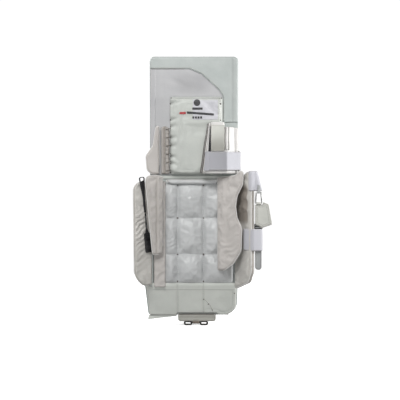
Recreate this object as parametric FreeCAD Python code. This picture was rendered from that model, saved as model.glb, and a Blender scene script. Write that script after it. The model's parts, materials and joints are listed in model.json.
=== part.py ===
"""Ice hockey goalkeeper's leg pad, for one leg, built as its separate pieces.

Frame: millimetres, +Z up the leg, +X to the right as seen from the wearer's side, +Y forward to the puck.
The origin is on the axis of the wearer's leg, level with the pad's sole edge. "Depth" is measured forward
from the pad's back plane, so whatever stands behind that plane, in the leg channel, has a negative depth.
"""

import os
from math import atan, cos, hypot, radians, sin, tan

import FreeCAD, Part

Vector = FreeCAD.Vector

# Driving dimensions of the pad.
FACE_WIDTH = 279.0
TOP_Z = 823.0
KNEE_BREAK_Z = 446.0
BOOT_BREAK_Z = 104.0
LEG_AXIS_DEPTH = -82.0
SECTION_DEPTH = 57.0
SOLE_DEPTH = 46.0
BOOT_TILT = 20.0
THIGH_LEAN = 2.5
BREAK_OPENING = 14.0
BREAK_BACK_GAP = 1.0
FACE_CORNER = 14.0
BOOT_FLARE = 17.0

# Sheet goods, and the gaps: between pieces that move past each other, and between pieces laid edge to edge.
COVER = 2.5
PANEL = 2.0
STIFFENER = 2.0
LINING = 2.0
LEATHER = 2.5
ELASTIC = 2.5
WEBBING = 1.5
CLEAR = 0.6
EDGE_GAP = 0.3

# Leg channel, between the side bolster on the left and the inner wing on the right.
CHANNEL_LEFT = -91.5
CHANNEL_RIGHT = 123.0
CUSHION_BOTTOM = 108.0
CUSHION_TOP = 424.0
CUSHION_DEPTH = 24.0
COLUMN_SEAMS = (-52.0, 30.0)
ROW_SEAMS = (199.0, 314.0)

# Padded rolls on the face.
ROLL_PROUD = 12.0
ROLL_TOP_OF_SHIN = 430.0

# Knee pieces, in the thigh section before it leans.
LANDING = {"left": -76.0, "right": 91.0, "low": 450.5, "high": 697.0, "depth": 28.0}
LINING_RIGHT = 92.0
LINING_TOP = 784.0
BLOCK = {"low": 455.0, "high": 612.0, "right": 139.0, "split": 50.0, "depth_low": 78.0, "depth_high": 64.0}
KNEE_STRAP = {"low": 464.5, "high": 522.0, "root_depth": -13.6}

# Flaps that hinge on upright lines: x and depth of the line, angle from the back plane at rest, thickness,
# and the side of the pad it is on.
OUTER_WING = {"x": 134.0, "depth": -13.0, "angle": 36.0, "thick": 13.0, "side": -1}
OUTER_FLAP = {"x": 98.5, "depth": -22.5, "angle": 28.0, "thick": 11.0, "side": -1}
KNEE_WING = {"x": 110.0, "depth": -13.0, "angle": 8.0, "thick": 10.0, "side": -1}
INNER_WING = {"x": 133.5, "depth": -15.0, "angle": 66.0, "thick": 14.0, "side": 1}
INNER_FLAP = {"x": 75.0, "depth": -31.5, "angle": 37.0, "thick": 11.0, "side": 1}
INNER_WING_REACH = 108.0

# Straps at the inner wing's free edge, the ring that hangs from them and the ring's tab.
STRAP_RIGHT = 206.0
STRAP_DEPTH = -112.0
RING_X = 195.0
RING_TOP_Z = 394.0
RING_HEIGHT = 33.0
RING_WIRE = 1.8
TAB_RIGHT = 234.0
TAB_LOW = 300.0

# Sewn point of the black strap on the outer wing's inner face, and its slant there.
BUCKLE_STRAP = {"x": 29.0, "z": 330.0, "slant": -6.0, "loop_width": 6.0}

# Toe bridge and the bar that the toe laces tie to.
TOE_HINGE_Z = 4.0
TOE_HINGE_GAP = 4.4
TOE_TAB = {"left": -52.0, "right": 70.0, "low": -17.0, "thick": 4.0}
TOE_BAR = {"left": -21.0, "right": 42.0, "z": -23.0, "radius": 2.6, "eye_drop": 2.5}
TOE_EYE_BORE = 3.0

HALF_WIDTH = FACE_WIDTH / 2
SOLE_REACH = BOOT_BREAK_Z * tan(radians(BOOT_TILT))
SOLE_LENGTH = SOLE_DEPTH / cos(radians(BOOT_TILT))
BACK_Y = -LEG_AXIS_DEPTH
SHIN_BOTTOM = BOOT_BREAK_Z + BREAK_BACK_GAP
SHIN_TOP = KNEE_BREAK_Z - BREAK_BACK_GAP
THIGH_BOTTOM = KNEE_BREAK_Z + BREAK_BACK_GAP
BOOT_TOP = BOOT_BREAK_Z - BREAK_BACK_GAP
BOOT_BACK_LOW = BOOT_BREAK_Z - BOOT_BREAK_Z / cos(radians(BOOT_TILT))
KNEE_NOTCH = BREAK_OPENING / 2
BOOT_NOTCH = SECTION_DEPTH * tan(atan(KNEE_NOTCH / SECTION_DEPTH) + radians(BOOT_TILT / 2))

parts = {}


# Points, wires and simple solids.

def at(x, depth, z):
    """A point given by its depth from the back plane."""
    return Vector(x, BACK_Y + depth, z)


def path(corners, point, closed=True):
    """A wire through corners (a, b, radius), with an arc at each inner corner; point maps a, b to space."""
    n = len(corners)
    spots = [Vector(a, b, 0) for a, b, _ in corners]
    joints = []
    for i, (_, _, radius) in enumerate(corners):
        if radius <= 0 or (not closed and i in (0, n - 1)):
            joints.append((spots[i], None, spots[i]))
            continue
        before = (spots[i - 1] - spots[i]).normalize()
        after = (spots[(i + 1) % n] - spots[i]).normalize()
        half = before.getAngle(after) / 2
        run = radius / tan(half)
        middle = (before + after).normalize()
        centre = spots[i] + middle * (radius / sin(half))
        joints.append((spots[i] + before * run, centre - middle * radius, spots[i] + after * run))
    edges = []
    for i, (start, bulge, end) in enumerate(joints):
        if bulge is not None:
            edges.append(Part.Arc(*[point(p.x, p.y) for p in (start, bulge, end)]).toShape())
        if not closed and i == n - 1:
            break
        following = joints[(i + 1) % n][0]
        if (following - end).Length > 1e-6:
            edges.append(Part.LineSegment(point(end.x, end.y), point(following.x, following.y)).toShape())
    return Part.Wire(edges)


def rectangle(a_from, a_to, b_from, b_to, radius=0.0):
    """Corners of a rectangle."""
    return [(a_from, b_from, radius), (a_to, b_from, radius), (a_to, b_to, radius), (a_from, b_to, radius)]


def plate_xz(corners, depth_from, depth_to):
    """A plate with its outline in x, z and its thickness in depth."""
    wire = path(corners, lambda a, b: at(a, depth_from, b))
    return Part.Face(wire).extrude(Vector(0, depth_to - depth_from, 0))


def bar_along_z(corners, z_from, z_to):
    """A bar with its section in x, depth, standing along z."""
    wire = path(corners, lambda a, b: at(a, b, z_from))
    return Part.Face(wire).extrude(Vector(0, 0, z_to - z_from))


def bar_along_x(corners, x_from, x_to):
    """A bar with its section in depth, z, lying along x."""
    wire = path(corners, lambda a, b: at(x_from, a, b))
    return Part.Face(wire).extrude(Vector(x_to - x_from, 0, 0))


def wedge_along_z(low_corners, high_corners, z_low, z_high):
    """A block with one x, depth section at its lower end and another at its upper end."""
    low = path(low_corners, lambda a, b: at(a, b, z_low))
    high = path(high_corners, lambda a, b: at(a, b, z_high))
    return Part.makeLoft([low, high], True, True)


def strip_along_z(corners, thickness, z_from, z_to):
    """A strap on edge, following an open path in x, depth, with its thickness to the right of the path."""
    wire = path(corners, lambda a, b: at(a, b, z_from), closed=False)
    return wire.makeOffset2D(thickness, 1, True, True).extrude(Vector(0, 0, z_to - z_from))


def fillet_where(shape, radius, wanted):
    """The shape with the edges rounded whose middle point passes the test."""
    return shape.makeFillet(radius, [e for e in shape.Edges if wanted(e.BoundBox.Center)])


def lean_thigh(shape):
    """Turns a piece modelled upright to the thigh rise's lean at rest."""
    return shape.rotated(at(0, 0, KNEE_BREAK_Z), Vector(1, 0, 0), THIGH_LEAN)


def tilt_boot(shape):
    """Turns a piece modelled upright to the boot's forward tilt at rest."""
    return shape.rotated(at(0, 0, BOOT_BREAK_Z), Vector(1, 0, 0), BOOT_TILT)


# Flaps. In a flap's own frame x runs out from its hinge line at the origin, -y faces the leg, and z is
# already right.

def place_flap(shape, hinge):
    """Moves a piece from a flap's own frame to its place on the pad."""
    placed = shape.rotated(Vector(0, 0, 0), Vector(0, 0, 1), -hinge["angle"])
    placed.translate(at(hinge["x"], hinge["depth"], 0))
    if hinge["side"] < 0:
        placed = placed.mirror(Vector(0, 0, 0), Vector(1, 0, 0))
    return placed


def flap_plate(outline, y_from, y_to):
    """A plate in a flap's own frame."""
    wire = path(outline, lambda a, b: Vector(a, y_from, b))
    return Part.Face(wire).extrude(Vector(0, y_to - y_from, 0))


def flap_layer(outline, y_from, y_to, rim):
    """A padded layer of a flap, with the rim of its outer faces rounded and its root a round barrel."""
    layer = flap_plate(outline, y_from, y_to)
    half = max(-y_from, y_to)
    rims = []
    for edge in layer.Edges:
        box = edge.BoundBox
        on_face = box.YLength < 0.01 and abs(abs(box.YMin) - half) < 0.01
        if on_face and box.XMax > 0.01:
            rims.append(edge)
    layer = layer.makeFillet(rim, rims)
    low, high = outline[0][1], outline[-1][1]
    barrel = Part.makeCylinder(half, high - low, Vector(0, 0, low), Vector(0, 0, 1))
    slot = Part.makeBox(half, y_to - y_from, high - low, Vector(-half, y_from, low))
    return layer.fuse(barrel.common(slot)).removeSplitter()


def make_wing(name, outline, plastic, hinge, rim):
    """A stiff wing: an inner and an outer padded layer, with a plastic sheet let into the outer one."""
    half = hinge["thick"] / 2
    sheet = flap_plate(plastic, 0, STIFFENER)
    outer = flap_layer(outline, 0, half, rim).cut(sheet)
    parts[name + "_inner_layer"] = place_flap(flap_layer(outline, -half, 0, rim), hinge)
    parts[name + "_outer_layer"] = place_flap(outer, hinge)
    parts[name + "_stiffener"] = place_flap(sheet, hinge)


# Sections.

def make_section(name, outline, profile, lean):
    """One stiff section of the pad: a foam core inside a face cover, closed behind by a plastic stiffener
    and a back panel. outline has its corners in x, z. profile has its corners in depth, z, in the order
    back bottom, front bottom, front top, back top."""
    block = bar_along_x([(d, z, 0) for d, z in profile], -2 * HALF_WIDTH, 2 * HALF_WIDTH)
    outer = block.common(plate_xz(outline, 0, SECTION_DEPTH))
    (_, back_low), (low_depth, front_low), (top_depth, front_top), (_, back_top) = profile
    low_slope = (front_low - back_low) / low_depth
    top_slope = (back_top - front_top) / top_depth
    low_inset = COVER * hypot(1, low_slope)
    top_inset = COVER * hypot(1, top_slope)
    inner_profile = [
        (-1, back_low + low_inset - low_slope, 0),
        (low_depth - COVER, front_low + low_inset - low_slope * COVER, 0),
        (top_depth - COVER, front_top - top_inset + top_slope * COVER, 0),
        (-1, back_top - top_inset + top_slope, 0),
    ]
    inner_face = Part.Face(path(outline, lambda a, b: at(a, -1, b))).makeOffset2D(-COVER)
    hollow = inner_face.extrude(Vector(0, SECTION_DEPTH, 0))
    hollow = hollow.common(bar_along_x(inner_profile, -2 * HALF_WIDTH, 2 * HALF_WIDTH))
    sheet_face = Part.Face(path(outline, lambda a, b: at(a, PANEL, b))).makeOffset2D(-COVER - FACE_CORNER)
    sheet_zone = plate_xz(rectangle(-2 * HALF_WIDTH, 2 * HALF_WIDTH, back_low + FACE_CORNER,
                                    back_top - FACE_CORNER), PANEL, PANEL + STIFFENER)
    span = (-2 * HALF_WIDTH, 2 * HALF_WIDTH)
    room = (back_low - SECTION_DEPTH, back_top + SECTION_DEPTH)
    sheet = sheet_face.extrude(Vector(0, STIFFENER, 0)).common(sheet_zone).common(hollow)
    parts[name + "_face_cover"] = lean(outer.cut(hollow))
    parts[name + "_back_panel"] = lean(hollow.common(plate_xz(rectangle(*span, *room), 0, PANEL)))
    parts[name + "_stiffener"] = lean(sheet)
    core = hollow.common(plate_xz(rectangle(*span, *room), PANEL, SECTION_DEPTH)).cut(sheet)
    parts[name + "_foam_core"] = lean(core)


def make_sections():
    """The shin, the thigh rise and the boot. They meet in V notches, open at the front. The boot's sole is
    cut on the slant that lies level after its tilt, and its outer edge flares."""
    shin_outline = rectangle(-HALF_WIDTH, HALF_WIDTH, SHIN_BOTTOM, SHIN_TOP)
    shin_profile = [(0, SHIN_BOTTOM), (SECTION_DEPTH, SHIN_BOTTOM + BOOT_NOTCH),
                    (SECTION_DEPTH, SHIN_TOP - KNEE_NOTCH), (0, SHIN_TOP)]
    make_section("shin", shin_outline, shin_profile, lambda shape: shape)
    thigh_outline = [(-HALF_WIDTH, THIGH_BOTTOM, 0), (HALF_WIDTH, THIGH_BOTTOM, 0),
                     (HALF_WIDTH, TOP_Z, FACE_CORNER), (-HALF_WIDTH, TOP_Z, FACE_CORNER)]
    thigh_profile = [(0, THIGH_BOTTOM), (SECTION_DEPTH, THIGH_BOTTOM + KNEE_NOTCH),
                     (SECTION_DEPTH, TOP_Z), (0, TOP_Z)]
    make_section("thigh", thigh_outline, thigh_profile, lean_thigh)
    front_low = BOOT_BACK_LOW - SOLE_DEPTH * tan(radians(BOOT_TILT))
    boot_outline = [(-HALF_WIDTH - BOOT_FLARE / 2, front_low, 10), (HALF_WIDTH - 2, front_low, 45),
                    (HALF_WIDTH, BOOT_TOP, 0), (-HALF_WIDTH - BOOT_FLARE, BOOT_TOP, 0)]
    boot_profile = [(0, BOOT_BACK_LOW), (SOLE_DEPTH, front_low),
                    (SECTION_DEPTH, BOOT_TOP - BOOT_NOTCH), (0, BOOT_TOP)]
    make_section("boot", boot_outline, boot_profile, tilt_boot)


def padded_roll(low, high, left, right):
    """A padded roll on the face, standing proud of it."""
    top = SECTION_DEPTH + ROLL_PROUD
    roll = plate_xz(rectangle(left, right, low, high), SECTION_DEPTH, top)
    return fillet_where(roll, ROLL_PROUD * 0.7, lambda c: c.y > BACK_Y + top - 0.1)


def make_face_rolls():
    """The knee rolls across the face, and the outer roll down its left edge, parted at the knee."""
    left, right = 46 - HALF_WIDTH, HALF_WIDTH - 8
    parts["knee_roll_lower"] = padded_roll(394, ROLL_TOP_OF_SHIN, left, right)
    parts["knee_roll_middle"] = lean_thigh(padded_roll(462, 500, left, right))
    parts["knee_roll_upper"] = lean_thigh(padded_roll(506, 544, left, right))
    left, right = 6 - HALF_WIDTH, 40 - HALF_WIDTH
    parts["thigh_outer_roll"] = lean_thigh(padded_roll(462, TOP_Z - 30, left, right))
    parts["shin_outer_roll"] = padded_roll(142, ROLL_TOP_OF_SHIN, left, right)


def make_break_strips():
    """Leather strips sewn to the shin's back edges, that the sections beyond the breaks hinge against."""
    half = HALF_WIDTH - 20
    knee = [(-LEATHER, SHIN_TOP - 8, 0), (0, SHIN_TOP - 8, 0), (0, SHIN_TOP - 0.5, 0),
            (-CLEAR, KNEE_BREAK_Z + 3, 0), (-LEATHER, KNEE_BREAK_Z + 3, 0)]
    boot = [(-LEATHER, BOOT_BREAK_Z - 4, 0), (-CLEAR, BOOT_BREAK_Z - 4, 0), (0, SHIN_BOTTOM + 0.5, 0),
            (0, CUSHION_BOTTOM - CLEAR, 0), (-LEATHER, CUSHION_BOTTOM - CLEAR, 0)]
    strips = [bar_along_x(section, -half, half) for section in (knee, boot)]
    parts["break_strips"] = Part.makeCompound(strips)


# Leg channel.

def make_calf_cushion():
    """The tufted cushion: blocks between sewn seams on a common base, the narrow roll above it, and the
    bolster on its left."""
    base_depth, seam = 8.0, 1.5
    cushion = plate_xz(rectangle(CHANNEL_LEFT, CHANNEL_RIGHT, CUSHION_BOTTOM, CUSHION_TOP, 6), -base_depth, 0)
    columns = [CHANNEL_LEFT, *COLUMN_SEAMS, CHANNEL_RIGHT]
    rows = [CUSHION_BOTTOM, *ROW_SEAMS, CUSHION_TOP]
    for left, right in zip(columns, columns[1:]):
        for low, high in zip(rows, rows[1:]):
            block = plate_xz(rectangle(left + seam, right - seam, low + seam, high - seam),
                             -CUSHION_DEPTH, -base_depth / 2)
            block = fillet_where(block, 7.0, lambda c: c.y < BACK_Y - CUSHION_DEPTH + 0.1)
            cushion = cushion.fuse(block)
    parts["calf_cushion"] = cushion.removeSplitter()
    top_roll = rectangle(-20, 0, CUSHION_TOP + 2, SHIN_TOP - 9, 4)
    parts["calf_top_roll"] = bar_along_x(top_roll, -86, 112)
    inner, outer = CHANNEL_LEFT - CLEAR, CLEAR + OUTER_WING["thick"] / 2 - OUTER_WING["x"]
    bolster = [(outer, -14, 6), (inner, -14, 5), (inner, 0, 0), (outer, 0, 0)]
    parts["channel_side_bolster"] = bar_along_z(bolster, CUSHION_BOTTOM, CUSHION_TOP + 6)


def make_wing_strips():
    """Leather strips on the pad's back edges that the calf wings are sewn to."""
    strips = []
    for wing, low, high in ((OUTER_WING, 98, 424), (INNER_WING, 106, 436)):
        half = wing["thick"] / 2
        middle = wing["side"] * wing["x"]
        inner = middle - wing["side"] * half
        outer = wing["side"] * HALF_WIDTH
        section = rectangle(min(inner, outer), max(inner, outer), wing["depth"] + half + CLEAR, 0)
        strips.append(bar_along_z(section, low, high))
    parts["wing_root_strips"] = Part.makeCompound(strips)


def make_outer_wing():
    """The outer calf wing, and the softer flap over it that wraps the calf."""
    outline = [(0, 104, 0), (30, 104, 24), (62, 132, 56), (66, 424, 26), (34, 426, 12), (0, 422, 0)]
    plastic = [(6, 116, 6), (28, 115, 16), (54, 138, 44), (57, 412, 22), (6, 412, 6)]
    make_wing("outer_wing", outline, plastic, OUTER_WING, 4.5)
    flap = [(0, 201, 0), (34, 202, 5), (58, 424, 60), (55, 445, 12), (16, 447, 14), (0, 442, 0)]
    half = OUTER_FLAP["thick"] / 2
    parts["outer_flap"] = place_flap(flap_layer(flap, -half, half, 4.5), OUTER_FLAP)


def make_inner_wing():
    """The inner calf wing, which stands up from the pad's right edge, and the wide flap inside it."""
    reach = INNER_WING_REACH
    outline = [(0, 92, 0), (88, 121, 26), (reach, 156, 36), (reach, 456, 16), (78, 456, 16), (56, 446, 16),
               (0, 438, 0)]
    plastic = [(8, 108, 6), (80, 133, 16), (98, 160, 26), (98, 436, 10), (8, 428, 6)]
    make_wing("inner_wing", outline, plastic, INNER_WING, 4.5)
    flap = [(0, 181, 0), (22, 157, 16), (60, 178, 26), (88, 214, 30), (86, 284, 20), (74, 320, 30),
            (74, 374, 30), (92, 420, 30), (94, 458, 8), (80, 458, 9), (68, 446, 12), (0, 440, 0)]
    half = INNER_FLAP["thick"] / 2
    parts["inner_flap"] = place_flap(flap_layer(flap, -half, half, 4.0), INNER_FLAP)


# Straps and hardware of the leg channel.

def on_flap(hinge, a, b, radius=0.0):
    """A corner in x, depth, of a point given in a flap's own frame."""
    turn = radians(hinge["angle"])
    x = hinge["x"] + a * cos(turn) + b * sin(turn)
    return (hinge["side"] * x, hinge["depth"] - a * sin(turn) + b * cos(turn), radius)


def wire_loop(corners, depth, radius):
    """A closed loop of round wire through corners (x, z) in a plane of one depth."""
    pieces = []
    spots = [at(x, depth, z) for x, z in corners]
    for start, end in zip(spots, spots[1:] + spots[:1]):
        pieces.append(Part.makeCylinder(radius, (end - start).Length, start, end - start))
        pieces.append(Part.makeSphere(radius, start))
    return pieces[0].fuse(pieces[1:]).removeSplitter()


def sleeve_along_x(x_from, x_to, depth, z, bore, wall):
    """A fold of strap round a bar, as a short tube along x."""
    start, along = at(x_from, depth, z), Vector(1, 0, 0)
    outside = Part.makeCylinder(bore + wall, x_to - x_from, start, along)
    return outside, Part.makeCylinder(bore, x_to - x_from, start, along)


def make_calf_straps():
    """Elastic bands round the inner wing's free edge. The upper one carries the ring on a webbing fold;
    the lower one keeps the tail of the calf strap under its slider."""
    half, tip = INNER_WING["thick"] / 2, INNER_WING_REACH
    for name, start, low, high in (("upper_calf_strap", 92, 398, 456), ("lower_calf_strap", 66, 218, 284)):
        corners = [on_flap(INNER_WING, start, -half), on_flap(INNER_WING, tip, -half, 2),
                   on_flap(INNER_WING, tip, half, 3), (STRAP_RIGHT, STRAP_DEPTH, 6),
                   (STRAP_RIGHT - 2, STRAP_DEPTH + 26, 8), on_flap(INNER_WING, tip - 44, half)]
        parts[name] = strip_along_z(corners, ELASTIC, low, high)
    tail_left, tail_right = RING_X - 10.5, RING_X + 9.5
    tail_low, tail_high = 161, 296
    tail_back = STRAP_DEPTH + 3.6
    tail_front = tail_back + LEATHER
    tail = [(tail_left, tail_low, 9), (tail_right, tail_low, 9), (tail_right, tail_high, 0),
            (tail_left, tail_high, 0)]
    parts["calf_strap_tail"] = plate_xz(tail, tail_back, tail_front)
    fit, rim, rim_back = 0.2, 1.6, 3.0
    slider_low, slider_high = 285, 298
    frame = rectangle(tail_left - rim, tail_right + rim, tail_back - rim_back, tail_front + rim, 1)
    slot = rectangle(tail_left - fit, tail_right + fit, tail_back - fit, tail_front + fit)
    opening = bar_along_z(slot, slider_low - 1, slider_high + 1)
    parts["calf_strap_slider"] = bar_along_z(frame, slider_low, slider_high).cut(opening)


def make_ring_and_tab():
    """The wire ring that hangs from the upper calf strap, and the leather tab that hangs from the ring."""
    depth = STRAP_DEPTH - ELASTIC / 2
    top, bottom = RING_TOP_Z, RING_TOP_Z - RING_HEIGHT
    half_top, half_bottom = 7.0, 9.5
    corners = [(RING_X - half_top, top), (RING_X + half_top, top), (RING_X + half_bottom, bottom),
               (RING_X - half_bottom, bottom)]
    parts["strap_ring"] = wire_loop(corners, depth, RING_WIRE)
    bore = RING_WIRE + CLEAR / 2
    fold_left, fold_right = RING_X - 4.5, RING_X + 4.5
    outside, inside = sleeve_along_x(fold_left, fold_right, depth, top, bore, WEBBING)
    front = STRAP_DEPTH - ELASTIC
    patch = bar_along_x(rectangle(front - WEBBING, front, top, top + 20), fold_left, fold_right)
    parts["ring_fold"] = outside.fuse(patch).cut(inside).removeSplitter()
    neck_left, neck_right = RING_X - 6.5, RING_X + 6.5
    outside, inside = sleeve_along_x(neck_left, neck_right, depth, bottom, bore, WEBBING)
    shoulder = RING_X + half_bottom + RING_WIRE + 1.5
    shoulder_z = bottom - bore - 1
    left, right = RING_X - 10.5, TAB_RIGHT
    outline = [(left, TAB_LOW, 3), (right, TAB_LOW - 3, 3), (right - 3, bottom + 6, 4),
               (shoulder, bottom + 7, 1), (shoulder, shoulder_z, 0), (left, shoulder_z, 0)]
    face, back = depth - LEATHER / 2, depth + LEATHER / 2
    neck = plate_xz(rectangle(neck_left, neck_right, shoulder_z - 3, bottom), face, back)
    tab = plate_xz(outline, face, back).fuse([neck, outside]).cut(inside)
    parts["strap_tab"] = tab.removeSplitter()


def make_buckle_strap():
    """The black strap between the outer wing and its flap: a folded loop standing up from its sewn point,
    and a hanging end with its buckle."""
    face = -OUTER_WING["thick"] / 2
    x_sewn, z_sewn = BUCKLE_STRAP["x"], BUCKLE_STRAP["z"]
    turn = BUCKLE_STRAP["slant"]

    def slanted(shape):
        """Leans a piece about the sewn point, in the wing's own frame, and puts it in place."""
        return place_flap(shape.rotated(Vector(x_sewn, 0, z_sewn), Vector(0, 1, 0), turn), OUTER_WING)

    bend = 4.5
    loop_left, loop_right = x_sewn - bend, x_sewn + bend
    foot, top = z_sewn + 9, z_sewn + 112
    loop_path = [(loop_left, foot, 0), (loop_left, top, bend - 0.1), (loop_right, top, bend - 0.1),
                 (loop_right, foot, 0)]
    width = BUCKLE_STRAP["loop_width"]
    wire = path(loop_path, lambda a, b: Vector(a, face - width, b), closed=False)
    loop = wire.makeOffset2D(WEBBING, 1, True, True).extrude(Vector(0, width, 0))
    patch = flap_plate(rectangle(loop_left, loop_right, foot, foot + 12), face - 4, face)
    parts["buckle_strap_loop"] = slanted(loop.fuse(patch).removeSplitter())
    left, right, low = x_sewn - 10, x_sewn + 10, z_sewn - 124
    back = face - CLEAR
    front = back - 2 * WEBBING
    outline = [(left, low + 4, 2), (right, low + 4, 2), (right, z_sewn, 4), (left, z_sewn, 4)]
    parts["buckle_strap_webbing"] = slanted(flap_plate(outline, front, back))
    rim, thick = 2.0, 4.0
    shell = flap_plate(rectangle(left - rim, right + rim, low, low + 62, 4), front - thick, front)
    shell = fillet_where(shell, 1.5, lambda c: c.y < front - thick + 0.1)
    parts["strap_buckle"] = slanted(shell)


# Knee.

def make_thigh_back():
    """The matt lining behind the thigh, the edge of the face cover folded over it, and the knee landing."""
    low, edge = LANDING["low"], HALF_WIDTH - COVER
    lining = [(-edge, low, 0), (LINING_RIGHT, low, 0), (LINING_RIGHT, 698, 8), (78, 719, 20), (24, 768, 24),
              (-14, LINING_TOP, 10), (-edge, LINING_TOP, 0)]
    parts["thigh_back_lining"] = lean_thigh(plate_xz(lining, -LINING, 0))
    fold_left, fold_low, fold_top = LINING_RIGHT + EDGE_GAP, LINING_TOP + EDGE_GAP, TOP_Z - COVER
    folded = [(-edge, fold_low, 0), (-13.9, fold_low, 10), (24.2, 768 + EDGE_GAP, 24), (78.4, 719, 20),
              (fold_left, 698, 8), (fold_left, 616, 0), (edge, 616, 0), (edge, fold_top, 12),
              (-edge, fold_top, 12)]
    parts["thigh_edge_panel"] = lean_thigh(plate_xz(folded, -2 * LINING, 0))
    face = -LANDING["depth"]
    outline = rectangle(LANDING["left"], LANDING["right"], low, LANDING["high"], 9)
    landing = fillet_where(plate_xz(outline, face, -LINING), 8.0, lambda c: c.y < BACK_Y + face + 0.1)
    parts["knee_landing"] = lean_thigh(landing)
    parts["label_patch"] = lean_thigh(plate_xz(rectangle(-60, 76, 634, 684, 5), face - 1.2, face))


def make_knee_block():
    """The stack of foam layers inside the knee, with a leather tab down its middle."""
    low, high, right, split = BLOCK["low"], BLOCK["high"], BLOCK["right"], BLOCK["split"]
    crest_low, crest_high = -BLOCK["depth_low"], -BLOCK["depth_high"]
    base = LANDING["depth"]
    riser = bar_along_z(rectangle(LINING_RIGHT + CLEAR, right - 1, -base, 0), low, high)
    parts["knee_block_riser"] = lean_thigh(riser)
    split_high = split - 6
    lower = wedge_along_z(
        [(22, -base, 0), (right, -base, 0), (right - 3, -split, 0), (24, -split, 0)],
        [(44, -base, 0), (right, -base, 0), (right - 3, -split_high, 0), (45, -split_high, 0)], low, high)
    parts["knee_block_lower"] = lean_thigh(lower)
    upper = wedge_along_z(
        [(26, -split, 0), (right - 4, -split, 0), (101, crest_low, 8), (32, crest_low, 8)],
        [(47, -split_high, 0), (right - 4, -split_high, 0), (101, crest_high, 7), (50, crest_high, 7)],
        low, high)
    parts["knee_block_upper"] = lean_thigh(upper)
    tab_low = KNEE_STRAP["high"] + 2
    fall = (crest_high - crest_low) / (high - low)
    under_low = crest_low + fall * (tab_low - low)
    under_high = crest_high - fall * 6
    tab = wedge_along_z(rectangle(56, 93, under_low - LEATHER, under_low),
                        rectangle(56, 93, under_high - LEATHER, under_high), tab_low, high - 6)
    parts["knee_block_tab"] = lean_thigh(tab)


def make_knee_strap():
    """The wide elastic over the knee block, free to peel away from it, and its anchor on the side wall."""
    low, high, root = KNEE_STRAP["low"], KNEE_STRAP["high"], KNEE_STRAP["root_depth"]
    over = -BLOCK["depth_low"] - 3.5
    side = HALF_WIDTH + 3
    corners = [(33, over, 0), (101, over, 5), (side, -BLOCK["split"], 6), (side, root, 0)]
    strap = path(corners, lambda a, b: at(a, b, low), closed=False).makeOffset2D(ELASTIC, 1, True, True)
    parts["knee_strap"] = lean_thigh(strap.extrude(Vector(0, 0, high - low)))
    anchor = bar_along_z(rectangle(HALF_WIDTH, side + ELASTIC, root + CLEAR, 26, 1.5), low - 4, high + 4)
    parts["knee_strap_anchor"] = lean_thigh(anchor)


def make_knee_wing():
    """The small wing beside the knee, the strip that it hinges on, and the cord laced along that strip."""
    low, high = 453.0, 606.0
    half = KNEE_WING["thick"] / 2
    left, right = half + CLEAR - KNEE_WING["x"], -84.0
    strip = [(left, -14, 4), (right, -14, 4), (right, -LINING, 0), (left, -LINING, 0)]
    parts["knee_wing_strip"] = lean_thigh(bar_along_z(strip, low, high))
    laces = []
    for row in range(6):
        start = at(right, -10, low + 10 + 26 * row)
        laces.append(Part.makeCylinder(1.5, LANDING["left"] - right, start, Vector(1, 0, 0)))
    parts["knee_lacing"] = lean_thigh(Part.makeCompound(laces))
    outline = [(0, low, 0), (22, low, 14), (44, 464, 20), (46, 514, 20), (20, 536, 18), (9, high, 5),
               (0, high, 0)]
    pad = place_flap(flap_layer(outline, -half, half, 4.0), KNEE_WING)
    parts["knee_wing"] = lean_thigh(pad)


# Boot and toe.

def make_boot_back():
    """The centre panel and the two side pads on the boot's back, and the loose edge of the sole."""
    low, high = 8.0, 98.0
    left, right = COLUMN_SEAMS
    outer = HALF_WIDTH - COVER - 1
    panels = {
        "boot_centre_panel": ([(left, low, 4), (right, low, 4), (right, high, 4), (left, high, 4)], 7.0),
        "boot_outer_pad": ([(-outer - BOOT_FLARE / 2, low, 6), (left - 1.5, low, 4), (left - 1.5, high, 4),
                            (-outer - BOOT_FLARE + 1, high, 6)], 8.0),
        "boot_inner_pad": ([(right + 1.5, low, 4), (outer - 2, low, 34), (outer, high, 6),
                            (right + 1.5, high, 4)], 8.0),
    }
    for name, (corners, thick) in panels.items():
        pad = plate_xz(corners, -thick, 0)
        pad = fillet_where(pad, 3.0, lambda c, face=BACK_Y - thick: c.y < face + 0.1)
        parts[name] = tilt_boot(pad)
    back = SOLE_REACH - 1.4
    edge = [(-148, -11, 1), (-56, -2, 1), (-56, 3, 0), (-146, 3, 0)]
    parts["sole_edge_flap"] = plate_xz(edge, back - LINING, back)


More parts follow.
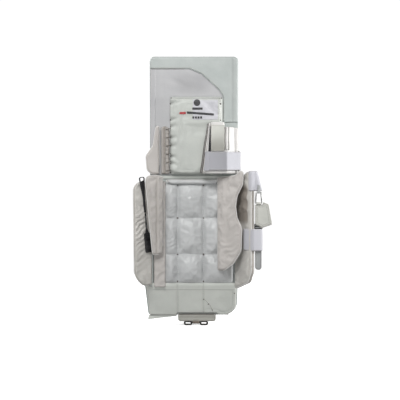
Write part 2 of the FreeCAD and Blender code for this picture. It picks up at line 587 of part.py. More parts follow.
def make_toe_bridge():
    """The leather tab behind the sole, hinged along its top, and the metal bar in its fold."""
    hinge = SOLE_REACH - TOE_HINGE_GAP
    half = TOE_TAB["thick"] / 2
    left, right, low = TOE_TAB["left"], TOE_TAB["right"], TOE_TAB["low"]
    bar_z, bar_radius = TOE_BAR["z"], TOE_BAR["radius"]
    tab = plate_xz([(left, low, 9), (right, low, 9), (right, TOE_HINGE_Z, 0), (left, TOE_HINGE_Z, 0)],
                   hinge - half, hinge + half)
    barrel = Part.makeCylinder(half, right - left, at(left, hinge, TOE_HINGE_Z), Vector(1, 0, 0))
    sleeve_left, sleeve_right = TOE_BAR["left"] + 8, TOE_BAR["right"] - 8
    outside, inside = sleeve_along_x(sleeve_left, sleeve_right, hinge, bar_z, bar_radius + 0.3, WEBBING)
    drop = rectangle(sleeve_left, sleeve_right, bar_z + bar_radius, low + 1)
    drop = plate_xz(drop, hinge - half, hinge + half)
    parts["toe_bridge_tab"] = tab.fuse([barrel, drop, outside]).cut(inside).removeSplitter()
    bar_left, bar_right = TOE_BAR["left"], TOE_BAR["right"]
    bar = Part.makeCylinder(bar_radius, bar_right - bar_left, at(bar_left, hinge, bar_z), Vector(1, 0, 0))
    eye_z = bar_z - TOE_BAR["eye_drop"]
    forward = Vector(0, 1, 0)
    for x in (bar_left, bar_right):
        eye = Part.makeCylinder(TOE_EYE_BORE + 3, 2 * bar_radius, at(x, hinge - bar_radius, eye_z), forward)
        bar = bar.fuse(eye)
    for x in (bar_left, bar_right):
        start = at(x, hinge - 2 * bar_radius, eye_z)
        bar = bar.cut(Part.makeCylinder(TOE_EYE_BORE, 4 * bar_radius, start, forward))
    parts["toe_tie_bar"] = bar.removeSplitter()


def make_pad():
    """Every piece of the leg pad."""
    make_sections()
    make_face_rolls()
    make_break_strips()
    make_calf_cushion()
    make_wing_strips()
    make_outer_wing()
    make_inner_wing()
    make_calf_straps()
    make_ring_and_tab()
    make_buckle_strap()
    make_thigh_back()
    make_knee_block()
    make_knee_strap()
    make_knee_wing()
    make_boot_back()
    make_toe_bridge()


make_pad()
os.makedirs("parts", exist_ok=True)
for name, shape in parts.items():
    if not shape.isValid():
        print("not valid:", name)
    shape.exportStep(os.path.join("parts", name + ".step"))
print(len(parts), "nodes written")
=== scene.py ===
"""Looks of an ice hockey goalkeeper's leg pad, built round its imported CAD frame.

Shapes are worked out in millimetres in the plane of the part that they belong to, as (a, b, c): a across,
b up, c out of the plane towards the wearer's leg. A 4x4 matrix, called a place, takes them to the CAD
frame in metres (+X right as the wearer sees it, +Y to the puck, +Z up).
"""

import json
from math import atan2, ceil, cos, pi, radians, sin, tan

import bmesh
import bpy
import numpy as np
from mathutils import Matrix, Vector, geometry, noise
from mathutils.bvhtree import BVHTree
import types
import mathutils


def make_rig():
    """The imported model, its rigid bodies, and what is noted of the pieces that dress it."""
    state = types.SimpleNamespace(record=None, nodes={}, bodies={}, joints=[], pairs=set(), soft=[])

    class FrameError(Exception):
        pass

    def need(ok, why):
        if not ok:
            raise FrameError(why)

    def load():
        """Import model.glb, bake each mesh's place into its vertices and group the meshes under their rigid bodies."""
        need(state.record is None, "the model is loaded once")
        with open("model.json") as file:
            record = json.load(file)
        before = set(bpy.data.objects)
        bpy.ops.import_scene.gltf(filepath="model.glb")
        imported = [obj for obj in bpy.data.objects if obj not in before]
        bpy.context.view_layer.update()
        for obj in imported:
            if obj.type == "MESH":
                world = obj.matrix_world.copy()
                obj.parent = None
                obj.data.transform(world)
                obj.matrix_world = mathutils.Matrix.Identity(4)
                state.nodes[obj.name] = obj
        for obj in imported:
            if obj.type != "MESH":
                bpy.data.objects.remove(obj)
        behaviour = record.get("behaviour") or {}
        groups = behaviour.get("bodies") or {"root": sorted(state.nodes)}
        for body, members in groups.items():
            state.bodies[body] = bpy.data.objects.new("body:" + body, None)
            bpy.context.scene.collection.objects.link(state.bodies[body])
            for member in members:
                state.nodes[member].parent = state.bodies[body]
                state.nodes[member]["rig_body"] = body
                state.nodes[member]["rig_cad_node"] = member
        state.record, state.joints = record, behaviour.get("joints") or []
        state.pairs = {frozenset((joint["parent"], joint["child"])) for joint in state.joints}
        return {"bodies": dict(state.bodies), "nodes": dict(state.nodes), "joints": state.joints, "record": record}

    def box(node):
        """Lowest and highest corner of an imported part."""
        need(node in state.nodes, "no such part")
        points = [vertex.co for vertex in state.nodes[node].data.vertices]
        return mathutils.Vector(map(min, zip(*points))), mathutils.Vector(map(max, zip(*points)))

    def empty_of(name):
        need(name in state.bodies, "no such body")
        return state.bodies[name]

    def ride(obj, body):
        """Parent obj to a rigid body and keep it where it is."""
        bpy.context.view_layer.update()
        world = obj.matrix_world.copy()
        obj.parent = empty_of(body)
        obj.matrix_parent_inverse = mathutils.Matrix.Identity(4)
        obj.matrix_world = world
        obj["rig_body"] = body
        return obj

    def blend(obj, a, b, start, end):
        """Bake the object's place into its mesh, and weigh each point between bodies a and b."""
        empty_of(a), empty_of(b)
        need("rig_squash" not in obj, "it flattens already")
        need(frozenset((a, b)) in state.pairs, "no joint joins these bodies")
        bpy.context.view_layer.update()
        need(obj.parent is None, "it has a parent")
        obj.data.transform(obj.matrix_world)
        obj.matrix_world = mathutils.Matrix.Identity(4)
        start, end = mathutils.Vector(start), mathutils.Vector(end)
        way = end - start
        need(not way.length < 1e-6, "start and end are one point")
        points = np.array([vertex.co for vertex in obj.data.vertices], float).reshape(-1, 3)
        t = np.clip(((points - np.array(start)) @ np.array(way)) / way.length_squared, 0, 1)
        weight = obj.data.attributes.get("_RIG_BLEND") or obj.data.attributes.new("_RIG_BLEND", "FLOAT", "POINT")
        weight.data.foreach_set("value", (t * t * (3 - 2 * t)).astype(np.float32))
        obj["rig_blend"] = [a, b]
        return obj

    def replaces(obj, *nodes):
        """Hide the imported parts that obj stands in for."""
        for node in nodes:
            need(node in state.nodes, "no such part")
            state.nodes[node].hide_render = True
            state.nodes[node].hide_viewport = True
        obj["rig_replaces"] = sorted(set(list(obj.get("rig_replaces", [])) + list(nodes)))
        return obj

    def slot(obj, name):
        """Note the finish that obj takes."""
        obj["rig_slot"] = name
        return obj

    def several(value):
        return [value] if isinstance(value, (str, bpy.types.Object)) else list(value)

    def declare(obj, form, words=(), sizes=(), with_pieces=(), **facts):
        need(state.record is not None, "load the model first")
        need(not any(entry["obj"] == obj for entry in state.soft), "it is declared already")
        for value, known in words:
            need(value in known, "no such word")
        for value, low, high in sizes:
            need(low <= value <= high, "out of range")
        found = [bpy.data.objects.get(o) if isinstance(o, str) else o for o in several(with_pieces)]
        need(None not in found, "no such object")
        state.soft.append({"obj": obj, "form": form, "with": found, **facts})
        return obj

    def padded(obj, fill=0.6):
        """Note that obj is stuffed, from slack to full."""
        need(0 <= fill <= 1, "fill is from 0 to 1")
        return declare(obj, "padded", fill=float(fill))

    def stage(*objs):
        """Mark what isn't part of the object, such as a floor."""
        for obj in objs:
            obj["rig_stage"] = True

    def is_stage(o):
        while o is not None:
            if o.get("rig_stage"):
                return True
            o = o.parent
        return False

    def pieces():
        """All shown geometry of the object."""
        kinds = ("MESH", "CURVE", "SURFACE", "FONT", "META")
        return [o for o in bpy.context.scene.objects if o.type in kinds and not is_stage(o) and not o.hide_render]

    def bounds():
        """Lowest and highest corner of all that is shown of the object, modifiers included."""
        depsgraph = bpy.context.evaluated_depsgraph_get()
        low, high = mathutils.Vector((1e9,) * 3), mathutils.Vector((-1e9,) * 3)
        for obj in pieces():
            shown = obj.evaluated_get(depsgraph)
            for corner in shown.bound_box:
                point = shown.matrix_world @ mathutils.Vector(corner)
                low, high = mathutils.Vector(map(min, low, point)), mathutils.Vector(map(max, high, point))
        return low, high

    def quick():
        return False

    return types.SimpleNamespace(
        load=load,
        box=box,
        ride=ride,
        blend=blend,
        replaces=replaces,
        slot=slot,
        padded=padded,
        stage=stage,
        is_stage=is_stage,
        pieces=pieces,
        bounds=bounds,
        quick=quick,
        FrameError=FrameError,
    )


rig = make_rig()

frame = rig.load()
cad_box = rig.bounds()

MM = 0.001
JOINTS = {joint["name"]: joint for joint in frame["joints"]}
BACK_Y = JOINTS["knee_flex"]["pos_m"][1]
KNEE_Z = JOINTS["knee_flex"]["pos_m"][2]
BOOT_Z = JOINTS["boot_flex"]["pos_m"][2]
THIGH_LEAN = 2.5
BOOT_TILT = 20.0
HALF_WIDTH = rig.box("shin_face_cover")[1].x / MM
SECTION_DEPTH = 57.0
PIPING = 1.9
SETTLED_REACH = 12.0 * MM
THREAD = 0.45


# Places.

def leaned(matrix, lean, y, z):
    """A place turned by lean degrees about the line along X at (y, z)."""
    there = Matrix.Translation((0, y, z))
    return there @ Matrix.Rotation(radians(lean), 4, "X") @ there.inverted() @ matrix


def section_place(lean, about_z):
    """The back plane of a stiff section, turned about its break: (x, z, height behind the plane)."""
    basis = Matrix(((MM, 0, 0, 0), (0, 0, -MM, BACK_Y), (0, MM, 0, 0), (0, 0, 0, 1)))
    return leaned(basis, lean, BACK_Y, about_z)


def flap_place(joint, angle, lean=0.0):
    """The middle plane of a flap: (distance from its hinge line, z, height towards the leg)."""
    x, y, z = JOINTS[joint]["pos_m"]
    side = 1 if x > 0 else -1
    turn = radians(angle)
    out = (side * cos(turn) * MM, -sin(turn) * MM)
    leg = (-side * sin(turn) * MM, -cos(turn) * MM)
    flat = Matrix(((out[0], 0, leg[0], x), (out[1], 0, leg[1], y), (0, MM, 0, 0), (0, 0, 0, 1)))
    return leaned(flat, lean, y, z) if lean else flat


SHIN = section_place(0, 0)
THIGH = section_place(THIGH_LEAN, KNEE_Z)
BOOT = section_place(BOOT_TILT, BOOT_Z)
OUTER_WING = flap_place("outer_wing_fold", 36)
OUTER_FLAP = flap_place("outer_flap_fold", 28)
INNER_WING = flap_place("inner_wing_fold", 66)
INNER_FLAP = flap_place("inner_flap_fold", 37)
KNEE_WING = flap_place("knee_wing_fold", 8, THIGH_LEAN)


def to_frame(place, points):
    """An array of (a, b, c) in the CAD frame."""
    matrix = np.array(place)
    return np.asarray(points, float) @ matrix[:3, :3].T + matrix[:3, 3]


def raised(place, line, height):
    """A line of the plane in the CAD frame, at one height or at one for each point."""
    return to_frame(place, np.column_stack([line, np.broadcast_to(height, len(line))]))


def straight(start, end, count=24):
    """Evenly spaced points from one point to another."""
    start, end = np.array(start, float), np.array(end, float)
    return np.array([start + (end - start) * t for t in np.linspace(0, 1, count)])


def upright_run(a, low, high):
    """Points every 3 mm up a straight line of the plane."""
    return np.array([(a, b) for b in np.arange(low, high, 3.0)])


# Outlines and distances.

def rounded(corners, step=3.0, closed=True):
    """Points about every step along an outline through corners (a, b, radius), with arcs at its corners."""
    spots = [np.array(corner[:2], float) for corner in corners]
    count = len(spots)
    points = []
    for i, spot in enumerate(spots):
        radius = corners[i][2]
        if radius <= 0 or (not closed and i in (0, count - 1)):
            points.append(spot)
            continue
        before, after = spots[i - 1] - spot, spots[(i + 1) % count] - spot
        before, after = before / np.linalg.norm(before), after / np.linalg.norm(after)
        half = np.arccos(np.clip(before @ after, -1, 1)) / 2
        middle = (before + after) / np.linalg.norm(before + after)
        centre = spot + middle * radius / np.sin(half)
        start, end = (spot + way * radius / np.tan(half) - centre for way in (before, after))
        first = np.arctan2(start[1], start[0])
        swing = (np.arctan2(end[1], end[0]) - first + pi) % (2 * pi) - pi
        steps = max(2, ceil(abs(swing) * radius / step))
        for k in range(steps + 1):
            angle = first + swing * k / steps
            points.append(centre + radius * np.array([np.cos(angle), np.sin(angle)]))
    runs = zip(points, points[1:] + points[:1]) if closed else zip(points, points[1:])
    full = []
    for start, end in runs:
        length = np.linalg.norm(end - start)
        if length < 1e-6:
            continue
        parts = max(1, ceil(length / step))
        full += [start + (end - start) * k / parts for k in range(parts)]
    if not closed:
        full.append(points[-1])
    return np.array(full)


def box_corners(left, right, low, high, radius):
    """Corners of a rectangle for rounded()."""
    return [(left, low, radius), (right, low, radius), (right, high, radius), (left, high, radius)]


def distance(points, line, closed=True):
    """Distance from each point to a line of points."""
    starts = line if closed else line[:-1]
    ends = np.roll(line, -1, 0) if closed else line[1:]
    best = np.full(len(points), np.inf)
    for start, end in zip(starts, ends):
        run = end - start
        t = np.clip(((points - start) @ run) / max(run @ run, 1e-12), 0, 1)
        best = np.minimum(best, np.hypot(*(points - start - t[:, None] * run).T))
    return best


def inside(points, line):
    """Whether each point is inside a closed line."""
    hits = np.zeros(len(points), bool)
    for start, end in zip(line, np.roll(line, -1, 0)):
        crosses = (start[1] > points[:, 1]) != (end[1] > points[:, 1])
        rise = end[1] - start[1]
        x = start[0] + (points[:, 1] - start[1]) * (end[0]
                                                    - start[0]) / (rise if abs(rise) > 1e-12 else 1e-12)
        hits ^= crosses & (points[:, 0] < x)
    return hits


def normals(path, closed=True):
    """Unit normals to the left of a path in its plane."""
    ahead = np.roll(path, -1, 0) - np.roll(path, 1, 0) if closed else np.gradient(path, axis=0)
    return np.column_stack([-ahead[:, 1], ahead[:, 0]]) / np.linalg.norm(ahead, axis=1)[:, None]


def inset(line, amount):
    """A closed line moved inwards, without the points that come too near its other side."""
    area = np.sum(line[:, 0] * np.roll(line[:, 1], -1) - np.roll(line[:, 0], -1) * line[:, 1])
    moved = line + normals(line) * amount * (1 if area > 0 else -1)
    return moved[distance(moved, line) > 0.93 * amount]


def lengths(line):
    """How far along an open line each of its points is."""
    return np.concatenate([[0], np.cumsum(np.linalg.norm(np.diff(line, axis=0), axis=1))])


def resample(line, count, closed=True):
    """A line with a given number of evenly spaced points, from its first point on."""
    ring = np.vstack([line, line[:1]]) if closed else line
    total = lengths(ring)
    places = np.linspace(0, total[-1], count, endpoint=not closed)
    return np.column_stack([np.interp(places, total, ring[:, k]) for k in (0, 1)])


def unit(value):
    """A value held between 0 and 1."""
    return np.clip(value, 0, 1)


def bump(value, centre, width):
    """1 at a centre, falling smoothly to nothing a few widths away."""
    return np.exp(-((value - centre) / width) ** 2)


def smooth(low, high, value):
    """Rises smoothly from 0 at low to 1 at high."""
    t = unit((value - low) / (high - low))
    return t * t * (3 - 2 * t)


def dome(height, edge):
    """A height that rises steeply from an outline and is flat further than edge inside it."""
    return lambda _, depth: height * np.sqrt(1 - (1 - unit(depth / edge)) ** 2)


def padding(height, edge, rough, soft=6, folds=None):
    """A dome with unevenness of (scale, depth, seed) and folds, both fading out towards the outline."""
    def shape(points, depth):
        extra = unevenness(points, *rough) + (folds(points) if folds else 0)
        return dome(height, edge)(points, depth) + extra * unit(depth / soft)
    return shape


def flat_back(height):
    """A flat far side at a height."""
    return lambda points, _: np.full(len(points), -height)


def ripples(points, centre, size, angle, length, depth):
    """Creases of a given wave length round a centre, running at an angle to a."""
    turn = radians(angle)
    offset = points - np.array(centre)
    along = offset[:, 0] * cos(turn) + offset[:, 1] * sin(turn)
    across = -offset[:, 0] * sin(turn) + offset[:, 1] * cos(turn)
    wobble = 0.8 * np.sin(along / length * 1.7 + 0.6)
    fade = np.exp(-(offset[:, 0] / size[0]) ** 2 - (offset[:, 1] / size[1]) ** 2)
    return depth * fade * np.sin(2 * pi * across / length + wobble)


def unevenness(points, scale, depth, seed):
    """Gentle hand-made unevenness, the same each run."""
    return np.array([depth * noise.noise(Vector((p[0] / scale, p[1] / scale, seed))) for p in points])


# Meshes.

def new_object(name, data):
    """Links a new object with its mesh, light or camera."""
    obj = bpy.data.objects.new(name, data)
    bpy.context.scene.collection.objects.link(obj)
    return obj


def from_shell(shell, name, material):
    """A smooth object made of a bmesh."""
    mesh = bpy.data.meshes.new(name)
    shell.to_mesh(mesh)
    shell.free()
    mesh.shade_smooth()
    mesh.materials.append(material)
    return new_object(name, mesh)


def mesh_object(name, verts, faces, material, crease=None):
    """A smooth mesh with outward faces; its last argument, 0 to 1 per vertex, is painted shade for the material."""
    mesh = bpy.data.meshes.new(name)
    mesh.from_pydata([tuple(v) for v in verts], [], [tuple(f) for f in faces])
    values = np.zeros(len(verts)) if crease is None else crease
    mesh.attributes.new("crease", "FLOAT", "POINT").data.foreach_set("value", np.asarray(values, np.float32))
    shell = bmesh.new()
    shell.from_mesh(mesh)
    bmesh.ops.recalc_face_normals(shell, faces=shell.faces)
    shell.to_mesh(mesh)
    shell.free()
    mesh.shade_smooth()
    mesh.materials.append(material)
    return new_object(name, mesh)


def skin(count, rings, closed=False, start=0):
    """Faces between rings of count vertices each, with a face over each end unless the rings close up."""
    starts = [start + i * count for i in range(rings)]
    faces = [(here + k, here + (k + 1) % count, there + (k + 1) % count, there + k) for here,
             there in zip(starts, starts[1:] + starts[:closed]) for k in range(count)]
    return faces if closed else faces + [tuple(range(end, end + count)) for end in (starts[0], starts[-1])]


def coordinates(obj):
    """A mesh's vertices as an array."""
    flat = np.zeros(len(obj.data.vertices) * 3, np.float32)
    obj.data.vertices.foreach_get("co", flat)
    return flat.reshape(-1, 3).astype(float)


def fill(line, step, rings):
    """Points and triangles that fill a closed line, with rows of points close to its edge."""
    rows = [line] + [inset(line, ring) for ring in rings]
    low, high = line.min(0), line.max(0)
    across = np.arange(low[0], high[0] + step, step)
    up = np.arange(low[1], high[1] + step, step * 0.87)
    grid = np.array([(x + (step / 2 if j % 2 else 0), y) for j, y in enumerate(up) for x in across])
    grid = grid[inside(grid, line)]
    rows.append(grid[distance(grid, line) > rings[-1] + 0.6 * step])
    points = np.vstack(rows)
    border = [(i, (i + 1) % len(line)) for i in range(len(line))]
    verts, _, triangles, *_ = geometry.delaunay_2d_cdt([Vector(p) for p in points], border, [], 1, 1e-5)
    return np.array([tuple(v) for v in verts]), [tuple(t) for t in triangles]


class Panel:
    """A stuffed panel: an outline in its own plane, with a height on its leg side and on its far side."""

    def __init__(self, corners, place, leg_side, far_side, step=4.0, crease=None):
        self.line = rounded(corners, min(step, 3.0))
        self.place, self.leg_side, self.far_side = place, leg_side, far_side
        self.step, self.crease, self.settled = step, crease, None

    def build(self, name, material, rings=(0.35, 1.1, 2.4, 4.4, 7.2)):
        """The closed mesh."""
        points, triangles = fill(self.line, self.step, rings)
        depth = distance(points, self.line)
        rim = depth < 1e-3
        count = len(points)
        near = np.column_stack([points, self.leg_side(points, depth)])
        far = np.column_stack([points, -self.far_side(points, depth)])
        lower = np.where(rim, np.arange(count), count + np.cumsum(~rim) - 1)
        verts = np.vstack([near, far[~rim]])
        faces = triangles + [tuple(int(lower[i]) for i in reversed(t)) for t in triangles]
        # Painted shade: darker along the outline on both sides; the panel's own painted shade is added on the leg side
        # only.
        dark = np.exp(-(depth / 1.6) ** 2) * 0.6
        far_dark = dark[~rim]
        if self.crease:
            dark = np.maximum(dark, self.crease(points, depth))
        dark = np.concatenate([dark, far_dark])
        return mesh_object(name, to_frame(self.place, verts), faces, material, dark)

    def on_leg_side(self, points, lift=0.0):
        """Points of the surface, in the CAD frame, above points of the plane."""
        return self.laid(points, self.leg_side(points, distance(points, self.line)), 1, lift)

    def on_far_side(self, points, lift=0.0):
        """The same on the far side."""
        return self.laid(points, self.far_side(points, distance(points, self.line)), -1, lift)

    def laid(self, points, height, side, lift):
        """Points of one side, taken from the settled mesh where there is one."""
        spots = to_frame(self.place, np.column_stack([points, side * height]))
        out = np.array(self.place.to_3x3().col[2].normalized()) * side
        if self.settled:
            for k, spot in enumerate(spots):
                hit = self.settled.ray_cast(Vector(spot + out * SETTLED_REACH), Vector(-out),
                                            2 * SETTLED_REACH)[0]
                if hit:
                    spots[k] = hit
        return spots + out * lift * MM

    def edge(self, first=0.0, last=1.0, height=0.0):
        """Part of the outline, in the CAD frame, between two shares of its length."""
        count = len(self.line)
        chosen = [self.line[i % count] for i in range(round(first * count), round(last * count) + 1)]
        return raised(self.place, chosen, height)


def tube(name, points, radius, material, closed=False, sides=8):
    """A round tube along points in the CAD frame, with a radius in mm."""
    points = np.asarray(points)
    ahead = np.roll(points, -1, 0) - np.roll(points, 1, 0) if closed else np.gradient(points, axis=0)
    ahead = ahead / np.linalg.norm(ahead, axis=1)[:, None]
    side = np.cross(ahead[0], (0, 0, 1.0))
    if np.linalg.norm(side) < 0.1:
        side = np.cross(ahead[0], (0, 1.0, 0))
    verts = []
    for point, direction in zip(points, ahead):
        side = side - direction * (side @ direction)
        side = side / np.linalg.norm(side)
        up = np.cross(direction, side)
        verts += [point + (side * cos(angle) + up * sin(angle)) * radius * MM
                  for angle in 2 * pi * np.arange(sides) / sides]
    return mesh_object(name, verts, skin(sides, len(points), closed), material)


def spaced(points, gap):
    """Points at an even gap in mm along a line in the CAD frame, with the direction at each."""
    points = np.asarray(points)
    total = lengths(points)
    places = np.arange(gap * MM / 2, total[-1], gap * MM)
    found = np.column_stack([np.interp(places, total, points[:, k]) for k in range(3)])
    ahead = np.column_stack([np.interp(places + 0.0005, total, points[:, k]) for k in range(3)]) - found
    return found, ahead / np.maximum(np.linalg.norm(ahead, axis=1)[:, None], 1e-9)


def stitches(name, lines, material, gap=4.6, length=3.0, radius=THREAD):
    """Rows of short threads lying on a surface, one small spindle for each stitch."""
    verts, faces = [], []
    for line in lines:
        for point, direction in zip(*spaced(line, gap)):
            side = np.cross(direction, (0.31, 0.9, 0.3))
            side = side / np.linalg.norm(side)
            up = np.cross(direction, side)
            faces += skin(5, 4, start=len(verts))
            for share, size in ((-0.5, 0.35), (-0.3, 1.0), (0.3, 1.0), (0.5, 0.35)):
                verts += [point + direction * length * share * MM
                          + (side * cos(angle) + up * sin(angle)) * radius * size * MM
                          for angle in 2 * pi * np.arange(5) / 5]
    return mesh_object(name, verts, faces, material)


def ribbon(name, path, low, high, thickness, place, material, step=2.5, bulge=0.0, top_path=None, shade=None):
    """A strap on edge: it follows an open path (a, c) in a place and is low to high tall along b. Its upper
    edge may follow a path of its own."""
    count, rows = len(path), max(6, ceil((high - low) / step))
    normal = normals(path, False)
    verts = []
    for side in (1, -1):
        for row in range(rows + 1):
            share = row / rows
            edge = min(share, 1 - share) * (high - low)
            half = thickness / 2 * np.sqrt(1 - (1 - min(edge / (thickness / 2), 1)) ** 2)
            shift = 0 if top_path is None else (top_path - path) * share
            line = path + shift + normal * (side * half + bulge * sin(pi * share))
            verts += [(a, low + share * (high - low), c) for a, c in line]
    far = (rows + 1) * count
    faces = [(i, i + 1, i + count + 1, i + count) for side in (0, far) for row in range(rows)
             for i in range(side + row * count, side + (row + 1) * count - 1)]
    faces += [(i, i + count, far + i + count, far + i) for row in range(rows)
              for i in (row * count, (row + 1) * count - 1)]
    faces += [(i, i + 1, far + i + 1, far + i) for k in range(count - 1) for i in (k, rows * count + k)]
    dark = shade(np.tile(np.linspace(0, 1, count), 2 * (rows + 1))) if shade else None
    obj = mesh_object(name, to_frame(place, verts), faces, material, dark)
    weld(obj)
    return obj


def weld(obj):
    """Joins vertices that lie on each other and drops faces with no area."""
    shell = bmesh.new()
    shell.from_mesh(obj.data)
    bmesh.ops.remove_doubles(shell, verts=shell.verts, dist=2e-5)
    bmesh.ops.dissolve_degenerate(shell, edges=shell.edges, dist=1e-6)
    bmesh.ops.recalc_face_normals(shell, faces=shell.faces)
    shell.to_mesh(obj.data)
    shell.free()
    obj.data.shade_smooth()


def settle(panel, obj, held, pressure=2.0, spare=0.03, cap=4.0, frames=14):
    """Cloth simulation of a panel's cover: it swells under the stuffing's pressure and wrinkles where its
    cloth has room to spare. held is 1 where a vertex is sewn down; no point moves more than cap mm."""
    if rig.quick():
        return
    before = coordinates(obj)
    group = obj.vertex_groups.new(name="held")
    for i in np.nonzero(held > 0.01)[0]:
        group.add([int(i)], float(held[i]), "REPLACE")
    cloth = obj.modifiers.new("cloth", "CLOTH")
    settings = {"vertex_group_mass": "held", "quality": 4, "mass": 0.25, "tension_stiffness": 25,
                "compression_stiffness": 25, "bending_stiffness": 0.6, "use_pressure": True,
                "uniform_pressure_force": pressure, "shrink_min": -spare}
    for key, value in settings.items():
        setattr(cloth.settings, key, value)
    cloth.settings.effector_weights.gravity = 0
    cloth.point_cache.frame_end = frames
    scene = bpy.context.scene
    for step in range(1, frames + 1):
        scene.frame_set(step)
    shown = obj.evaluated_get(bpy.context.evaluated_depsgraph_get())
    moved = np.array([v.co[:] for v in shown.data.vertices]) - before
    obj.modifiers.clear()
    scene.frame_set(1)
    obj.vertex_groups.clear()
    size = np.linalg.norm(moved, axis=1)
    moved *= np.minimum(1, cap * MM / np.maximum(size, 1e-9))[:, None]
    obj.data.vertices.foreach_set("co", (before + moved).astype(np.float32).ravel())
    obj.data.update()
    panel.settled = BVHTree.FromPolygons([Vector(v) for v in before + moved],
                                         [tuple(f.vertices) for f in obj.data.polygons])


def finish(obj, body, slot, stands_for=(), fill_level=None):
    """Puts a piece on its body, names its finish, and says what it stands for."""
    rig.ride(obj, body)
    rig.slot(obj, slot)
    if stands_for:
        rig.replaces(obj, *stands_for)
    if fill_level is not None:
        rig.padded(obj, fill=fill_level)
    return obj


# Materials.

class Surface:
    """A material in the making: its shader's inputs, and short ways to add and link nodes."""

    def __init__(self, name):
        self.material = bpy.data.materials.new(name)
        self.material.use_nodes = True
        self.nodes, self.link = self.material.node_tree.nodes, self.material.node_tree.links.new
        self.shader = self.nodes["Principled BSDF"].inputs
        self.place = self.add("TexCoord").outputs["Object"]

    def add(self, kind, **settings):
        """A node with its inputs and properties set by name."""
        node = self.nodes.new("ShaderNode" + kind)
        for key, value in settings.items():
            if key in node.inputs:
                node.inputs[key].default_value = value
            else:
                setattr(node, key, value)
        return node

    def texture(self, kind, output="Fac", **settings):
        """A texture's output, placed by object coordinates."""
        node = self.add("Tex" + kind, **settings)
        self.link(self.place, node.inputs["Vector"])
        return node.outputs[output]

    def mix(self, factor, first, second):
        """A mix of two colours; either may be a colour or a socket."""
        mix = self.add("Mix", data_type="RGBA")
        self.link(factor, mix.inputs["Factor"])
        for socket, value in ((mix.inputs["A"], first), (mix.inputs["B"], second)):
            if isinstance(value, tuple):
                socket.default_value = (*value, 1)
            else:
                self.link(value, socket)
        return mix.outputs["Result"]

    def scaled(self, value, low, high, to_low=0.0, to_high=1.0):
        """A value mapped from one range to another, held at its ends."""
        ends = {"From Min": low, "From Max": high, "To Min": to_low, "To Max": to_high}
        ramp = self.add("MapRange", **ends)
        self.link(value, ramp.inputs["Value"])
        return ramp.outputs["Result"]

    def bumps(self, *layers):
        """Bump layers of (height, strength, depth in mm), each on the one before, set on the shader."""
        under = None
        for height, strength, depth in layers:
            node = self.add("Bump", Strength=strength, Distance=depth * MM)
            self.link(height, node.inputs["Height"])
            if under:
                self.link(under, node.inputs["Normal"])
            under = node.outputs["Normal"]
        self.link(under, self.shader["Normal"])

    def finish(self, colour, roughness, **settings):
        """Links colour and roughness, sets other inputs, and gives the material."""
        self.link(colour, self.shader["Base Color"])
        if isinstance(roughness, float):
            self.shader["Roughness"].default_value = roughness
        else:
            self.link(roughness, self.shader["Roughness"])
        for key, value in settings.items():
            self.shader[key.replace("_", " ")].default_value = value
        return self.material


def cover_material(name, light, dark, soil, roughness, grain, grain_height, sheen=0.0, coat=0.0):
    """Leather or coated cloth: clouded colour, painted shade in the creases and wherever the mesh marks it, specks of
    dirt, and a grain of a size in mm.
    """
    look = Surface(name)
    clouds = look.texture("Noise", Scale=14.0, Detail=5.0, Roughness=0.6)
    specks = look.texture("Noise", Scale=260.0, Detail=3.0, Roughness=0.7)
    cells = look.texture("Voronoi", "Distance", Scale=1000.0 / grain, Randomness=1.0)
    folds = look.texture("Noise", Scale=70.0, Detail=4.0, Roughness=0.55, Distortion=1.2)
    tone = look.mix(look.scaled(clouds, 0.32, 0.68), dark, light)
    # Painted shade: the mesh's per-vertex painted shade darkens the colour towards the third colour given, which the
    # random specks of dirt below also use.
    crease = look.add("Attribute", attribute_name="crease").outputs["Fac"]
    tone = look.mix(look.scaled(crease, 0.0, 1.0, 0.0, 0.85), tone, soil)
    tone = look.mix(look.scaled(specks, 0.62, 0.78, 0.0, 0.22), tone, soil)
    look.bumps((cells, 0.5, grain_height), (folds, 0.35, 1.1))
    rough = look.scaled(clouds, 0.3, 0.7, roughness - 0.06, roughness + 0.08)
    return look.finish(tone, rough, Sheen_Weight=sheen, Coat_Weight=coat, Coat_Roughness=0.35,
                       Specular_IOR_Level=0.4)


def ribbed_material(name, light, dark, rib, along, roughness, weave=0.0):
    """Woven strap: ribs of a width in mm, counted along an axis, with cross threads if weave isn't 0."""
    look = Surface(name)
    height = look.texture("Wave", wave_type="BANDS", bands_direction=along, Scale=314.0 / rib, Distortion=0.4,
                          Detail=1.0)
    threads = look.texture("Noise", Scale=520.0, Detail=2.0)
    clouds = look.texture("Noise", Scale=18.0, Detail=3.0)
    if weave:
        cross = look.texture("Wave", wave_type="BANDS", bands_direction="X" if along == "Z" else "Z",
                             Scale=314.0 / weave)
        product = look.add("Math", operation="MULTIPLY")
        for index, factor in enumerate((height, cross)):
            look.link(factor, product.inputs[index])
        height = product.outputs[0]
    tone = look.mix(look.scaled(height, 0.0, 0.6), dark, light)
    tone = look.mix(look.scaled(clouds, 0.35, 0.7, 0.0, 0.3), tone, dark)
    # Painted shade: the mesh's per-vertex painted shade darkens the strap towards half its dark colour.
    folds = look.add("Attribute", attribute_name="crease").outputs["Fac"]
    tone = look.mix(folds, tone, tuple(0.5 * value for value in dark))
    look.bumps((height, 0.6, 0.35), (threads, 0.25, 0.2))
    rough = look.scaled(threads, 0.3, 0.7, roughness - 0.05, roughness + 0.05)
    return look.finish(tone, rough, Sheen_Weight=0.15)


def hard_material(name, light, dark, roughness, metallic=0.0, wear=0.1):
    """Moulded plastic or metal, with faint scratches and handling marks."""
    look = Surface(name)
    marks = look.texture("Noise", Scale=90.0, Detail=6.0, Roughness=0.65)
    scratches = look.texture("Noise", Scale=420.0, Detail=2.0, Distortion=3.0)
    look.bumps((scratches, 0.12, 0.12))
    return look.finish(look.mix(look.scaled(marks, 0.4, 0.65), light, dark),
                       look.scaled(marks, 0.35, 0.7, roughness, roughness + wear), Metallic=metallic)


